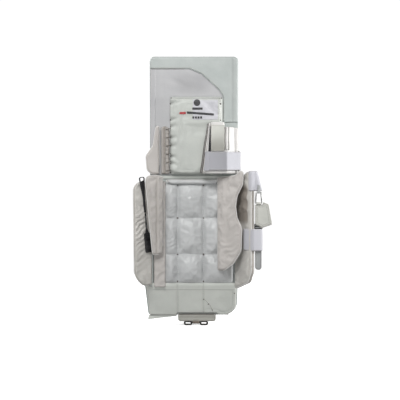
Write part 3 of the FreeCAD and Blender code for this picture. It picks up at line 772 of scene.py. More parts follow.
FACE = cover_material("face_leather", (0.465, 0.495, 0.48), (0.405, 0.44, 0.425), (0.25, 0.265, 0.26), 0.42,
                      1.1, 0.10, coat=0.08)
LEATHER = cover_material("landing_leather", (0.55, 0.57, 0.535), (0.48, 0.50, 0.47), (0.2, 0.21, 0.2), 0.45,
                         1.2, 0.14)
SOFT = cover_material("soft_leather", (0.555, 0.527, 0.503), (0.475, 0.45, 0.427), (0.22, 0.19, 0.16), 0.5,
                      1.4, 0.16, sheen=0.05)
QUILT = cover_material("quilted_leather", (0.56, 0.57, 0.57), (0.47, 0.48, 0.48), (0.2, 0.205, 0.21), 0.36,
                       1.3, 0.12, coat=0.12)
# The third colour of each material here is the colour that its painted shade and its specks of dirt go to; for this
# one it is dark brown, for the painted shadow in the inner wing's hollow.
WING = cover_material("wing_leather", (0.585, 0.57, 0.535), (0.50, 0.485, 0.455), (0.15, 0.115, 0.085), 0.45,
                      1.3, 0.12, coat=0.1)
LINING = cover_material("matt_lining", (0.50, 0.50, 0.505), (0.45, 0.45, 0.46), (0.2, 0.195, 0.2), 0.85, 0.7,
                        0.09, sheen=0.1)
PIPE = cover_material("piping_leather", (0.68, 0.665, 0.65), (0.60, 0.59, 0.57), (0.35, 0.34, 0.32), 0.42,
                      0.9, 0.06)
DARK_PIPE = cover_material("dark_piping", (0.13, 0.115, 0.105), (0.09, 0.08, 0.075), (0.04, 0.035, 0.03), 0.6,
                           0.9, 0.06)
# Painted light: the boot's leather is brighter than the landing's, in place of light that the lamps bring too little
# of to the bottom of the pad.
BRIGHTENED_BOOT_LEATHER = cover_material("boot_leather", (0.665, 0.685, 0.64), (0.59, 0.61, 0.57), (0.2, 0.21, 0.2),
                              0.45, 1.2, 0.14)
TAB = cover_material("tab_leather", (0.60, 0.60, 0.555), (0.50, 0.505, 0.465), (0.24, 0.23, 0.2), 0.5, 1.2,
                     0.14)
CORD = cover_material("lace_cord", (0.20, 0.185, 0.165), (0.14, 0.125, 0.11), (0.05, 0.045, 0.04), 0.75, 0.6,
                      0.12)
THREAD_LIGHT = cover_material("light_thread", (0.62, 0.6, 0.56), (0.5, 0.48, 0.45), (0.3, 0.28, 0.25), 0.6,
                              0.4, 0.05)
THREAD_DARK = cover_material("dark_thread", (0.17, 0.15, 0.135), (0.11, 0.10, 0.09), (0.05, 0.05, 0.04), 0.7,
                             0.4, 0.05)
ELASTIC = ribbed_material("white_elastic", (0.53, 0.53, 0.565), (0.44, 0.44, 0.475), 1.5, "Z", 0.62)
SEAM = cover_material("seam_line", (0.35, 0.345, 0.335), (0.28, 0.275, 0.265), (0.12, 0.115, 0.11), 0.7, 0.9,
                      0.06)
WEB_BLACK = ribbed_material("black_webbing", (0.030, 0.030, 0.033), (0.010, 0.010, 0.012), 1.6, "X", 0.55,
                            1.6)
WEB_GREY = ribbed_material("grey_webbing", (0.41, 0.42, 0.42), (0.29, 0.30, 0.30), 1.6, "X", 0.6, 1.6)
PLASTIC = hard_material("black_plastic", (0.012, 0.012, 0.013), (0.03, 0.03, 0.032), 0.22)
RING_STEEL = hard_material("ring_steel", (0.36, 0.36, 0.355), (0.25, 0.25, 0.245), 0.3, metallic=1.0)
BAR_STEEL = hard_material("bar_steel", (0.045, 0.042, 0.04), (0.02, 0.019, 0.018), 0.2, metallic=1.0)
FOLD_BROWN = cover_material("toe_fold_leather", (0.16, 0.13, 0.105), (0.11, 0.09, 0.07), (0.05, 0.04, 0.03),
                            0.55, 1.2, 0.12)
for black in (WEB_BLACK, PLASTIC):
    black.node_tree.nodes["Principled BSDF"].inputs["Specular IOR Level"].default_value = 0.18
VINYL_BLACK = hard_material("label_black", (0.02, 0.02, 0.022), (0.045, 0.045, 0.048), 0.45)
VINYL_PALE = hard_material("label_pale", (0.56, 0.56, 0.59), (0.50, 0.50, 0.53), 0.5)
VINYL_RED = hard_material("label_red", (0.42, 0.05, 0.05), (0.34, 0.04, 0.045), 0.45)


# Stiff sections.

def slab(name, corners, place, back, front, back_round, front_round, material, slant, step=6.0):
    """A block between two heights of its plane with rounded edges; slant moves b by height."""
    line = rounded(corners, step)
    normal = normals(line)
    arcs = np.linspace(0, pi / 2, 5)
    rings = [(back_round * (1 - np.sin(t)), back - back_round * (1 - np.cos(t))) for t in arcs]
    rings += [(0, back + (front - back) * share) for share in (0.3, 0.5, 0.7)]
    rings += [(front_round * (1 - np.sin(t)), front + front_round * (1 - np.cos(t))) for t in arcs[::-1]]
    verts = [(*p, height) for amount, height in rings for p in line + normal * amount]
    count = len(line)
    faces = skin(count, len(rings))[:-2]
    for index in (0, len(rings) - 1):
        amount, height = rings[index]
        points, triangles = fill(line + normal * amount, 2 * step, (3.0, 8.0))
        base = len(verts) - count
        lookup = [index * count + k if k < count else base + k for k in range(len(points))]
        verts += [(*p, height) for p in points[count:]]
        faces += [tuple(lookup[i] for i in t) for t in triangles]
    verts = np.array(verts)
    verts[:, 1] = slant(verts[:, 1], verts[:, 2])
    verts[:, 2] += unevenness(verts[:, :2], 55.0, 0.5, 3.0)
    return mesh_object(name, to_frame(place, verts), faces, material)


def between(low, high, low_slope, high_slope):
    """Moves b so that a block's ends slope with its height."""
    def slant(b, height):
        share = (b - low) / (high - low)
        return b - height * (low_slope * (1 - share) + high_slope * share)
    return slant


def make_sections():
    """The shin, thigh rise and boot: face covers with piped edges, and their rolls."""
    notch = 7.0 / SECTION_DEPTH
    boot_notch = tan(atan2(7.0, SECTION_DEPTH) + radians(BOOT_TILT / 2))
    shin_z, thigh_z = (BOOT_Z / MM + 1, KNEE_Z / MM - 1), (KNEE_Z / MM + 1, 823.0)
    boot_low = BOOT_Z / MM - BOOT_Z / MM / cos(radians(BOOT_TILT))
    sole = tan(radians(BOOT_TILT))
    flare = 17.0
    boot_corners = [(-HALF_WIDTH - flare / 2, boot_low, 10), (HALF_WIDTH - 2, boot_low, 45),
                    (HALF_WIDTH, BOOT_Z / MM - 1, 1.5), (-HALF_WIDTH - flare, BOOT_Z / MM - 1, 1.5)]
    sections = (
        ("shin", SHIN, box_corners(-HALF_WIDTH, HALF_WIDTH, *shin_z, 1.5), SECTION_DEPTH,
         between(*shin_z, boot_notch, -notch)),
        ("thigh_rise", THIGH, [(-HALF_WIDTH, thigh_z[0], 1.5), (HALF_WIDTH, thigh_z[0], 1.5),
                               (HALF_WIDTH, thigh_z[1], 14), (-HALF_WIDTH, thigh_z[1], 14)],
         SECTION_DEPTH, between(*thigh_z, notch, 0.0)),
        ("boot", BOOT, boot_corners, 52.0, between(boot_low, BOOT_Z / MM - 1, -sole, -boot_notch)),
    )
    for body, place, corners, depth, slant in sections:
        short = body.split("_")[0]
        cover = slab(short + "_face", corners, place, -0.3, -depth, 2.5, 9.0, FACE, slant)
        nodes = [f"{short}_{part}" for part in ("face_cover", "back_panel", "stiffener", "foam_core")]
        finish(cover, body, "face_leather", nodes, 0.95)
        line = rounded(corners, 6.0)
        for tag, amount, height in (("front", 2.0, -depth + 2.5), ("side", -0.25, -0.36 * depth)):
            outward = line - line.mean(0)
            ring = line - outward / np.linalg.norm(outward, axis=1)[:, None] * amount
            rim = np.column_stack([ring, np.full(len(ring), height)])
            rim[:, 1] = slant(rim[:, 1], rim[:, 2])
            where = to_frame(place, rim)
            if tag == "front":
                piece = tube(short + "_front_piping", where, PIPING, PIPE, closed=True)
            else:
                piece = stitches(short + "_side_stitching", [where], THREAD_LIGHT)
            finish(piece, body, "face_leather")
    make_face_rolls()


def make_face_rolls():
    """The knee rolls across the face and the outer roll down its edge, with a sewn valley round each."""
    left, right = 46 - HALF_WIDTH, HALF_WIDTH - 8
    outer = (6 - HALF_WIDTH, 40 - HALF_WIDTH)
    rolls = (
        ("knee_roll_lower", SHIN, "shin", (left, right, 394, 430)),
        ("knee_roll_middle", THIGH, "thigh_rise", (left, right, 462, 500)),
        ("knee_roll_upper", THIGH, "thigh_rise", (left, right, 506, 544)),
        ("thigh_outer_roll", THIGH, "thigh_rise", (*outer, 462, 793)),
        ("shin_outer_roll", SHIN, "shin", (*outer, 142, 430)),
    )
    for index, (name, place, body, (x_from, x_to, low, high)) in enumerate(rolls):
        def front(points, depth, seed=index):
            crown = dome(10.0, 12.0)(points, depth)
            return SECTION_DEPTH - 0.6 + crown + unevenness(points, 22.0, 1.3, seed) * unit(depth / 6)

        panel = Panel(box_corners(x_from, x_to, low, high, 5), place, flat_back(SECTION_DEPTH - 0.6), front,
                      5.0)
        finish(panel.build("padded_" + name, FACE), body, "face_leather", (name,), 0.9)
        edge = panel.edge(0, 1, -SECTION_DEPTH - 0.4)
        finish(tube("piping_" + name, edge, 1.4, PIPE, closed=False), body, "face_leather")


# Thigh lining, folded edge and knee landing.

LINING_RIGHT = 92.0


def make_thigh_back():
    """The matt lining, the cover's edge folded over it, and the seam between them."""
    low = 450.5
    edge = HALF_WIDTH - 1.5
    lining = [(-edge, low, 0), (LINING_RIGHT, low, 0), (LINING_RIGHT, 698, 8), (78, 719, 20), (24, 768, 24),
              (-14, 784, 10), (-edge, 784, 0)]

    def surface(points, depth):
        puff = 1.5 * unit(depth / 30) + unevenness(points, 60, 0.9, 1.0)
        slack = ripples(points, (-40, 745), (55, 22), -18, 34, 0.7)
        return 1.4 + puff + slack - 0.9 * np.exp(-(depth / 5) ** 2)

    def shade(points, _):
        scoop = np.exp(-((points[:, 0] + 6) / 52) ** 4 - ((points[:, 1] - 738) / 30) ** 4)
        return 0.28 * scoop

    panel = Panel(lining, THIGH, surface, flat_back(0.0), 6.0, shade)
    finish(panel.build("thigh_lining", LINING), "thigh_rise", "matt_lining", ("thigh_back_lining",), 0.3)
    gap = 0.4
    folded = [(-edge, 784 + gap, 0), (-13.9, 784 + gap, 10), (24.2, 768 + gap, 24), (78.4, 719 + gap, 20),
              (LINING_RIGHT + gap, 698, 8), (LINING_RIGHT + gap, 616, 2), (edge, 616, 2), (edge, 821, 13),
              (-edge, 821, 13)]

    def fold(points, depth):
        turned = dome(3.4, 4.0)(points, depth)
        right = bump(points[:, 0], 122, 3.0)
        return turned + unevenness(points, 26, 0.8, 2.0) * unit(depth / 5) - right

    # Painted shade in the groove along the folded edge at a = 122.
    def groove_shade(points, _):
        return 0.42 * bump(points[:, 0], 122, 3.2)

    panel = Panel(folded, THIGH, fold, flat_back(0.0), 4.5, groove_shade)
    finish(panel.build("thigh_folded_edge", FACE), "thigh_rise", "face_leather", ("thigh_edge_panel",), 0.4)
    seam = rounded([(-edge + 2, 784.2, 0), (-13.9, 784.2, 10), (24.1, 768.2, 24), (78.2, 719.2, 20),
                    (LINING_RIGHT + 0.2, 698, 8), (LINING_RIGHT + 0.2, 618, 0)], 3.0, closed=False)
    across = seam[:, 0] < -30
    for name, part, material in (("thigh_seam_top", seam[across], SEAM),
                                 ("thigh_seam_side", seam[~across], FACE)):
        line = raised(THIGH, part, 1.6)
        finish(tube(name, line, 0.75, material), "thigh_rise", "matt_lining")
    offset = seam + np.array([1.8, 3.4])
    line = to_frame(THIGH, np.column_stack([offset, panel_height(panel, offset)]))
    finish(stitches("thigh_seam_stitching", [line], THREAD_LIGHT), "thigh_rise", "face_leather")
    stripe = rounded([(-123.5, 456, 0), (-123.5, 781, 0)], 4.0, closed=False)
    line = raised(THIGH, stripe, 2.6)
    finish(tube("thigh_lining_welt", line, 1.6, LINING), "thigh_rise", "matt_lining")


def panel_height(panel, points, lift=0.2):
    """Leg-side height of a panel over points of its plane."""
    return panel.leg_side(points, distance(points, panel.line)) + lift


LANDING_KNOTS = (674.4, 624.3, 602.5, 568.0, 543.0, 508.6, 486.7, 458.6)


def make_knee_landing():
    """The raised landing for the knee: a soft pad gathered along its left edge, with a sewn cap on its right
    edge, and its label of generic marks."""
    left, right, low, high = -76.0, 91.0, 450.5, 697.0

    def surface(points, depth):
        a, b = points[:, 0], points[:, 1]
        height = dome(23.5, 13.0)(points, depth)
        height += 2.6 * np.cos(np.clip((a - 8) / 84, -1, 1) * pi / 2) * unit(depth / 20)
        near_left = bump(a, left, 16)
        pinch = np.zeros(len(points))
        for knot in LANDING_KNOTS:
            pinch = np.maximum(pinch, bump(b, knot, 5.4))
        height -= near_left * (9.5 * pinch - 2.0)
        top_seam = bump(b, high - 7, 2.0)
        cap_seam = bump(a, right - 10.5, 1.5) * smooth(615, 622, b)
        height -= (1.8 * top_seam + 2.0 * cap_seam) * unit(depth / 3)
        height += ripples(points, (-52, 560), (26, 95), 78, 21, 0.8)
        return height + unevenness(points, 30, 0.9, 5.0) * unit(depth / 8)

    def shade(points, depth):
        a, b = points[:, 0], points[:, 1]
        dark = np.zeros(len(points))
        for knot in LANDING_KNOTS:
            dark = np.maximum(dark, np.exp(-((b - knot) / 2.4) ** 2 - ((a - left - 1) / 12) ** 2))
        cap_seam = bump(a, right - 10.5, 1.5) * smooth(615, 622, b) * 0.5
        return np.maximum(dark * 0.9, cap_seam)

    panel = Panel(box_corners(left, right, low, high, 9), THIGH, surface, flat_back(2.0), 3.6, shade)
    pad = panel.build("knee_landing_pad", LEATHER)
    spots = plane_points(pad, THIGH)
    held = held_near_rim(panel, spots, 9.0)
    seams = bump(spots[:, 1], high - 7, 3)
    settle(panel, pad, np.maximum(held, seams), 1.6, 0.02, 2.2)
    finish(pad, "thigh_rise", "landing_leather", ("knee_landing",), 0.8)
    top = np.array([(a, high - 6.5) for a in np.arange(left + 5, right - 4, 3.0)])
    line = panel.on_leg_side(top, 0.3)
    finish(tube("landing_top_piping", line, 0.9, SEAM), "thigh_rise", "landing_leather")
    top = top - np.array([0, 4.2])
    stitch_lines = [panel.on_leg_side(top, 0.45)]
    for offset in (6.6, 14.4):
        cap = upright_run(right - offset, 622, high - 8)
        stitch_lines.append(panel.on_leg_side(cap, 0.35))
    finish(stitches("landing_stitching", stitch_lines, THREAD_LIGHT), "thigh_rise", "landing_leather")
    knots = [(left + 5.6, high - 6.5), (right - 5.5, high - 6.5), (right - 8, 673), (right - 8, 621)]
    knots += [(left + 2.2, b) for b in LANDING_KNOTS]
    finish(knot_cluster("landing_knots", panel, knots, 2.5), "thigh_rise", "landing_leather")
    make_label(panel)


def plane_points(obj, place):
    """A mesh's vertices in the plane of a place, as (a, b, height)."""
    matrix = np.array(place.inverted())
    return coordinates(obj) @ matrix[:3, :3].T + matrix[:3, 3]


def held_near_rim(panel, spots, width):
    """1 at the outline and on the far side, falling to 0 at a width inside the leg side."""
    depth = distance(spots[:, :2], panel.line)
    top = panel.leg_side(spots[:, :2], depth)
    held = 1 - smooth(0.35 * width, width, depth)
    return np.where(np.abs(spots[:, 2] - top) > 0.6, 1.0, held)


def knot_cluster(name, panel, spots, size):
    """Small flattened knots of thread where the cover is tied down."""
    shell = bmesh.new()
    for index, spot in enumerate(spots):
        centre = Vector(panel.on_leg_side(np.array([spot]), 0.1)[0])
        turn = Matrix.Rotation(1.3 * index, 4, "Y") @ Matrix.Diagonal((1.0, 0.55, 0.8 + 0.3 * (index % 3), 1))
        made = bmesh.ops.create_icosphere(shell, subdivisions=2, radius=size * MM,
                                          matrix=Matrix.Translation(centre) @ turn)
        for v in made["verts"]:
            v.co += (v.co - centre) * 0.22 * noise.noise(v.co * 700)
    return from_shell(shell, name, DARK_PIPE)


def patch_on(name, corners, panel, material, lift=0.5, thickness=0.5, step=2.0):
    """A thin mark that lies on a panel's leg side."""
    line = rounded(corners, step)
    points, triangles = fill(line, step, (0.6,))
    rim = len(line)
    top = panel.on_leg_side(points, lift + thickness)
    bottom = panel.on_leg_side(points, lift - 0.3)
    faces = triangles + [tuple(len(points) + i for i in reversed(t)) for t in triangles]
    faces += [(i, (i + 1) % rim, len(points) + (i + 1) % rim, len(points) + i) for i in range(rim)]
    return mesh_object(name, np.vstack([top, bottom]), faces, material)


def make_label(panel):
    """The landing's generic marks: a round dot, two plain bars and a row of small squares."""
    circle = [(9.6 + 10.5 * cos(t), 675.5 + 10.5 * sin(t), 0) for t in np.linspace(0, 2 * pi, 17)[:-1]]
    backing = patch_on("label_backing", box_corners(-3, 75, 623, 688, 3), panel, VINYL_PALE, 0.3, 0.3, 4.0)
    finish(backing, "thigh_rise", "label_vinyl", ("label_patch",))
    marks = [
        ("label_dot", circle, VINYL_BLACK),
        ("label_bar_short", box_corners(-5, 27, 653.5, 660.5, 1.4), VINYL_BLACK),
        ("label_bar_long", [(-22, 641.6, 1.5), (62, 635.6, 1.5), (62.6, 642.2, 1.5), (-22, 648.6, 1.5)],
         VINYL_BLACK),
        ("label_bar_red", [(-45, 639.5, 1.5), (-25, 640.2, 1.5), (-25, 647.4, 1.5), (-45, 646.6, 1.5)],
         VINYL_RED),
    ]
    marks += [(f"label_square_{k}", box_corners(-5 + 8.2 * k, 1.2 + 8.2 * k, 626.0, 633.0, 1.0), VINYL_BLACK)
              for k in range(4)]
    for name, corners, material in marks:
        finish(patch_on(name, corners, panel, material, 0.7), "thigh_rise", "label_vinyl")


# Knee block, strap and wing.

def trapezium(left, right, low, top_left, top_right, high, radius, top_radius=None):
    """Corners of a section with level lower and upper sides, for rounded()."""
    top_radius = top_radius or radius
    return [(left, low, radius), (right, low, radius), (top_right, high, top_radius),
            (top_left, high, top_radius)]


def wedge_layer(name, low_corners, high_corners, low, high, material):
    """A foam layer covered in leather: one rounded section (a, height) at its lower end and one at its upper
    end, with a soft rim round each end."""
    count, rows, soft = 96, 34, 3.0
    first, last = (resample(rounded(corners, 3.0), count) for corners in (low_corners, high_corners))
    verts = []
    for share in np.arange(rows + 1) / rows:
        b = low + share * (high - low)
        section = first + (last - first) * share
        centre = section.mean(0)
        squeeze = 1 - 0.055 * (1 - min(min(b - low, high - b) / soft, 1)) ** 2
        verts += [(*((p - centre) * squeeze + centre), b) for p in section]
    verts = np.array(verts)[:, [0, 2, 1]]
    verts[:, 2] += unevenness(verts[:, :2], 24.0, 0.7, 9.0)
    return mesh_object(name, to_frame(THIGH, verts), skin(count, rows + 1), material)


def make_knee_block():
    """The stack of foam layers inside the knee, with its piping, tab and ribs."""
    low, high, right = 455.0, 612.0, 139.0
    shoulder = high - 15
    foot = trapezium(LINING_RIGHT + 0.6, right - 1, 0.5, LINING_RIGHT + 0.6, right - 1, 28, 2)
    layers = (
        ("riser_cover", foot, foot, low, shoulder, FACE, "face_leather", ("knee_block_riser",), 0.9),
        ("lower_layer", trapezium(24, right, 28.2, 26, right - 3, 49.6, 4),
         trapezium(44, right, 28.2, 45, right - 3, 43.6, 4), low, shoulder, PIPE, "soft_leather",
         ("knee_block_lower",), 0.9),
        ("left_band", trapezium(22, 40, 28.2, 24, 40, 49.4, 3), trapezium(44, 56, 28.2, 45, 56, 43.6, 3),
         low, high - 3, SOFT, "soft_leather", (), 0.9),
        ("upper_layer", trapezium(26, right - 4, 50, 32, 101, 78, 4, 8),
         trapezium(46, right - 4, 44, 50, 101, 65, 4, 7), low, shoulder + 1, PIPE, "soft_leather",
         ("knee_block_upper",), 0.9),
        ("crest", trapezium(50, 96, 44, 52, 95, 70, 4, 7), trapezium(51, 95, 44, 54, 93, 64.6, 4, 7),
         high - 30, high + 1, PIPE, "soft_leather", (), 0.8),
        # A thin black sheet where there is only the shadow of the gap between the layers: painted shadow.
        ("gap_lining", trapezium(44, 52.5, 70, 44, 52.5, 74.9, 1),
         trapezium(49.5, 51.5, 63, 49.5, 51.5, 66.4, 0.5), 520, 600, WEB_BLACK, "soft_leather", (), None),
    )
    for name, first, last, start, end, material, slot, nodes, fill_level in layers:
        layer = wedge_layer("knee_block_" + name, first, last, start, end, material)
        finish(layer, "thigh_rise", slot, nodes, fill_level)
    seams = {
        "left_piping": ((28.4, low + 2, 75.0), (48.0, high - 2, 62.4), 1.6, PIPE),
        "left_welt": ((25.0, low + 2, 53.0), (46.4, high - 2, 46.4), 1.5, DARK_PIPE),
        "layer_seam": ((22.6, low + 2, 47.0), (44.4, high - 2, 41.0), 1.3, SEAM),
        "foot_seam": ((19.6, low + 2, 30.0), (42.6, high - 2, 30.0), 1.3, DARK_PIPE),
        "rib_line": ((95.2, 527, 72.8), (95.6, high - 14, 66.6), 1.0, DARK_PIPE),
        "rib": ((100.8, 527, 71.8), (100.8, high - 14, 65.0), 2.9, PIPE),
        "rib_seam": ((107.4, 527, 68.2), (107.2, high - 14, 61.8), 1.1, SEAM),
    }
    wave = np.array([(0.5 * sin(t * 9.0), 0, 0.25 * sin(t * 7.0)) for t in np.linspace(0, 1, 24)])
    for name, (start, end, radius, material) in seams.items():
        seam = tube("knee_block_" + name, to_frame(THIGH, straight(start, end) + wave), radius, material)
        finish(seam, "thigh_rise", "soft_leather")
    tab_low, tab_high = 523.0, 604.0

    def face(points):
        t = (points[:, 1] - tab_low) / (tab_high - tab_low)
        return 76.6 - 9.0 * t + 1.6 * np.sin(pi * t) - 2.2 * np.exp(-(t / 0.3) ** 2)

    # Painted shade: the tab darker towards its lower end, where it tucks under the knee strap.
    tab = Panel(box_corners(53, 94, tab_low, tab_high, 2.5), THIGH, lambda p, d: face(p)
                + dome(1.0, 1.5)(p, d), lambda p, d: 2.0 - face(p), 3.0,
                lambda p, d: 0.8 * (1 - smooth(530, 592, p[:, 1])))
    finish(tab.build("knee_block_tab_cover", TAB), "thigh_rise", "soft_leather", ("knee_block_tab",), 0.2)
    finish(stitches("knee_block_tab_stitching", [tab.on_leg_side(inset(tab.line, 2.6), 0.1)], THREAD_LIGHT),
           "thigh_rise", "soft_leather")


def strap_path(corners, step=2.5):
    """An open path (a, height) for a ribbon, from corners (a, height, radius)."""
    return rounded(corners, step, closed=False)


def beside(place, path, b, offset):
    """A line along a strap at b, an offset to the left of its path (a, c), in the CAD frame."""
    outer = path + normals(path, False) * offset
    return to_frame(place, np.column_stack([outer[:, 0], np.full(len(outer), b), outer[:, 1]]))


def make_knee_strap():
    """The wide elastic over the knee block and its anchor on the side wall."""
    low, high = 464.5, 522.0
    path = strap_path([(34, 82.6, 0), (101, 82.6, 5), (143.8, 50.5, 6), (143.8, 14.2, 0)])
    strap = ribbon("knee_strap_band", path, low, high, 2.5, THIGH, ELASTIC, bulge=-0.8,
                   shade=lambda share: (0.34 + 0.5 * share) * (1 - smooth(0.41, 0.44, share)))
    finish(strap, "knee_strap", "white_elastic", ("knee_strap",))
    rows = [beside(THIGH, path, b, 1.45) for b in (low + 2.4, high - 2.4)]
    finish(stitches("knee_strap_stitching", rows, THREAD_LIGHT), "knee_strap", "white_elastic")
    # Painted shade: the tip darkened all over, like the band's left part.
    tip = Panel([(30, low - 1, 3), (47, low, 2), (47, high, 2), (37, high + 1, 3)], THIGH,
                lambda p, d: 84.1 + dome(1.0, 1.5)(p, d), flat_back(81.4), 3.0,
                lambda p, d: np.full(len(p), 0.34))
    finish(tip.build("knee_strap_tip", ELASTIC), "knee_strap", "white_elastic")
    side = Matrix(((0, 0, MM, (HALF_WIDTH + 0.4) * MM), (0, -MM, 0, BACK_Y), (MM, 0, 0, 0), (0, 0, 0, 1)))
    corners = [(high + 4, 13, 5), (low - 4, 13, 5), (low - 4, -26, 5), (high + 4, -26, 5)]
    anchor = Panel(corners, leaned(side, THIGH_LEAN, BACK_Y, KNEE_Z), dome(4.6, 3.0), flat_back(0.0), 4.0)
    finish(anchor.build("knee_strap_anchor_patch", SOFT), "thigh_rise", "soft_leather",
           ("knee_strap_anchor",), 0.2)
    cross = [[(low + 2, 8.0), (high - 2, -20.0)], [(low + 2, -20.0), (high - 2, 8.0)],
             [(low, 10.0), (high, 10.0)], [(low, -22.5), (high, -22.5)]]
    rows = [anchor.on_leg_side(straight(*ends), 0.3) for ends in cross]
    finish(stitches("knee_strap_anchor_stitching", rows, THREAD_DARK), "thigh_rise", "soft_leather")


def make_knee_wing():
    """The small wing beside the knee, the strip that it hinges on, and its laced cord."""
    low, high = 453.0, 606.0
    # Painted shade: darker in the groove at a = -92.5, and darker all over the strip.
    strip = Panel([(-104.4, low, 4), (-77.5, low, 4), (-77.5, high - 8, 12), (-92, high, 9),
                   (-104.4, high - 6, 8)], THIGH, lambda p, d: dome(11.0, 5.0)(p, d)
                  - 4.0 * bump(p[:, 0], -92.5, 2.4) + ripples(p, (-84, 530), (9, 90), 8, 13, 0.9)
                  + unevenness(p, 14, 0.9, 4.0), flat_back(1.8), 3.2,
                  lambda p, d: 0.5 * bump(p[:, 0], -92.5, 3.0) + 0.42)
    finish(strip.build("knee_wing_strip_cover", SOFT), "thigh_rise", "soft_leather", ("knee_wing_strip",),
           0.5)
    for name, a in (("knee_wing_strip_line_left", -102.6), ("knee_wing_strip_line_right", -88.4)):
        run = upright_run(a, low + 6, high - 4)
        finish(tube(name, strip.on_leg_side(run, 0.2), 0.8, SEAM), "thigh_rise", "soft_leather")
    for row in range(6):
        b = low + 10 + 26 * row
        run = [(-87.0 + 14.0 * t, b + 3.0 * t, 10.5 + 5.0 * sin(pi * t) + 5.0 * t)
               for t in np.linspace(0, 1, 9)]
        lace = tube(f"knee_lace_{row}", to_frame(THIGH, run), 1.3, CORD)
        finish(lace, "thigh_rise", "grey_webbing", () if row else ("knee_lacing",))
    outline = [(0, low, 3), (20, low, 14), (37, 462, 18), (41, 510, 20), (19, 540, 22), (9, high - 4, 8),
               (0, high - 3, 3)]
    wing = Panel(outline, KNEE_WING, padding(4.9, 6.0, (16, 0.6, 2.0), 5), dome(4.9, 6.0), 3.4)
    finish(wing.build("knee_wing_pad", SOFT), "knee_wing", "soft_leather", ("knee_wing",), 0.7)
    finish(tube("knee_wing_piping", wing.edge(0.03, 0.93), 1.9, PIPE), "knee_wing", "soft_leather")
    inner = inset(wing.line, 5.5)
    finish(stitches("knee_wing_stitching", [wing.on_leg_side(inner, 0.2)], THREAD_LIGHT), "knee_wing",
           "soft_leather")


# Leg channel.

CHANNEL = (-91.5, 123.0)
COLUMNS = (-52.0, 30.0)
ROWS = (199.0, 314.0)


def make_calf_cushion():
    """The tufted cushion in the leg channel, its knots, and the narrow roll above it."""
    left, right = CHANNEL
    low, high = 108.0, 424.0

    def seams(points):
        a, b = points[:, 0], points[:, 1]
        lines = np.zeros(len(points))
        for seam in COLUMNS:
            lines = np.maximum(lines, np.exp(-(np.abs(a - seam) / 3.0) ** 1.3))
        for seam in ROWS:
            bow = 1.5 * np.sin((a + 10) / 30)
            lines = np.maximum(lines, np.exp(-(np.abs(b - seam - bow) / 3.8) ** 1.3))
        return lines

    def surface(points, depth):
        a, b = points[:, 0], points[:, 1]
        crown = np.ones(len(points))
        for edges, value, roundness in (((left, *COLUMNS, right), a, 0.25), ((low, *ROWS, high), b, 0.6)):
            for start, end in zip(edges, edges[1:]):
                t = unit((value - start) / (end - start))
                arch = 4 * t * (1 - t)
                chosen = (value >= start) & (value < end)
                crown = np.where(chosen, crown * (roundness * arch + (1 - roundness) * arch ** 0.38), crown)
        height = 5.0 + 21.0 * crown
        height = np.minimum(height, dome(26.0, 12.0)(points, depth))
        height += ripples(points, (-72, 338), (13, 18), 45, 9.0, 2.2)
        height += ripples(points, (-72, 240), (15, 34), 40, 12.5, 0.9)
        height += ripples(points, (70, 360), (40, 30), -24, 24, 0.7)
        height += unevenness(points, 20, 1.3, 11.0) * unit(depth / 8)
        return height

    def shade(points, _):
        return 0.4 * seams(points) ** 3

    panel = Panel(box_corners(left, right, low, high, 9), SHIN, surface, flat_back(0.2), 3.8, shade)
    cushion = panel.build("calf_cushion_quilt", QUILT)
    spots = plane_points(cushion, SHIN)
    held = np.maximum(held_near_rim(panel, spots, 7.0), unit(seams(spots[:, :2]) * 1.6))
    settle(panel, cushion, held, 2.0, 0.03, 2.6)
    finish(cushion, "shin", "quilted_leather", ("calf_cushion",), 0.85)
    tufts = [(a, b) for a in COLUMNS for b in ROWS] + [(a, high - 5) for a in COLUMNS]
    tufts += [(a, low + 6) for a in COLUMNS]
    finish(knot_cluster("calf_cushion_knots", panel, tufts, 3.0), "shin", "quilted_leather")
    roll = Panel([(-78, 419, 16), (66, 419, 16), (84, 437, 3), (-88, 437, 5)], SHIN,
                 padding(22.0, 7.0, (12, 1.0, 7.0), 3), flat_back(0.2), 2.4)
    finish(roll.build("calf_top_roll_cover", QUILT), "shin", "quilted_leather", ("calf_top_roll",), 0.8)
    curl = [(-83.5 + 4.2 * cos(t) * (1 - t / 12), 430.6 + 4.2 * sin(t) * (1 - t / 12), 20.6)
            for t in np.linspace(-1.2, 5.2, 22)]
    finish(tube("calf_top_roll_curl", to_frame(SHIN, curl), 1.3, PIPE), "shin", "quilted_leather")
    hem = np.array([(a, 434.2 + 0.5 * sin(a / 13)) for a in np.arange(-80, 78, 3.0)])
    finish(tube("calf_top_roll_piping", roll.on_leg_side(hem, 0.1), 1.2, PIPE), "shin", "quilted_leather")
    make_channel_edges()


def make_channel_edges():
    """The bolster beside the cushion, and the strips that the wings and the sections are sewn to."""
    bolster = Panel(box_corners(-126.8, CHANNEL[0] + 2.5, 95, 430, 5), SHIN,
                    lambda p, d: ripples(p, (-110, 300), (14, 120), 84, 15, 0.6)
                    + padding(14.0, 3.5, (16, 1.1, 6.0), 5)(p, d), flat_back(0.2), 3.6)
    pad = bolster.build("side_bolster_pad", SOFT)
    settle(bolster, pad, held_near_rim(bolster, plane_points(pad, SHIN), 6.0), 1.6, 0.03, 2.0)
    finish(pad, "shin", "quilted_leather", ("channel_side_bolster",), 0.75)
    strips = (("wing_strip_left", -139.2, -127.6, 98, 424, ("wing_root_strips",)),
              ("wing_strip_right", 126.6, 139.2, 106, 436, ()))
    for name, left, right, low, high, nodes in strips:
        strip = Panel(box_corners(left, right, low, high, 2.5), SHIN, dome(6.6, 2.2), flat_back(0.2), 3.6)
        finish(strip.build(name, FACE), "shin", "face_leather", nodes)
        middle = (left + right) / 2
        rows = [strip.on_leg_side(upright_run(middle, low + 4, high - 4), 0.2)]
        finish(stitches(name + "_stitching", rows, THREAD_LIGHT), "shin", "face_leather")
    make_break_covers()


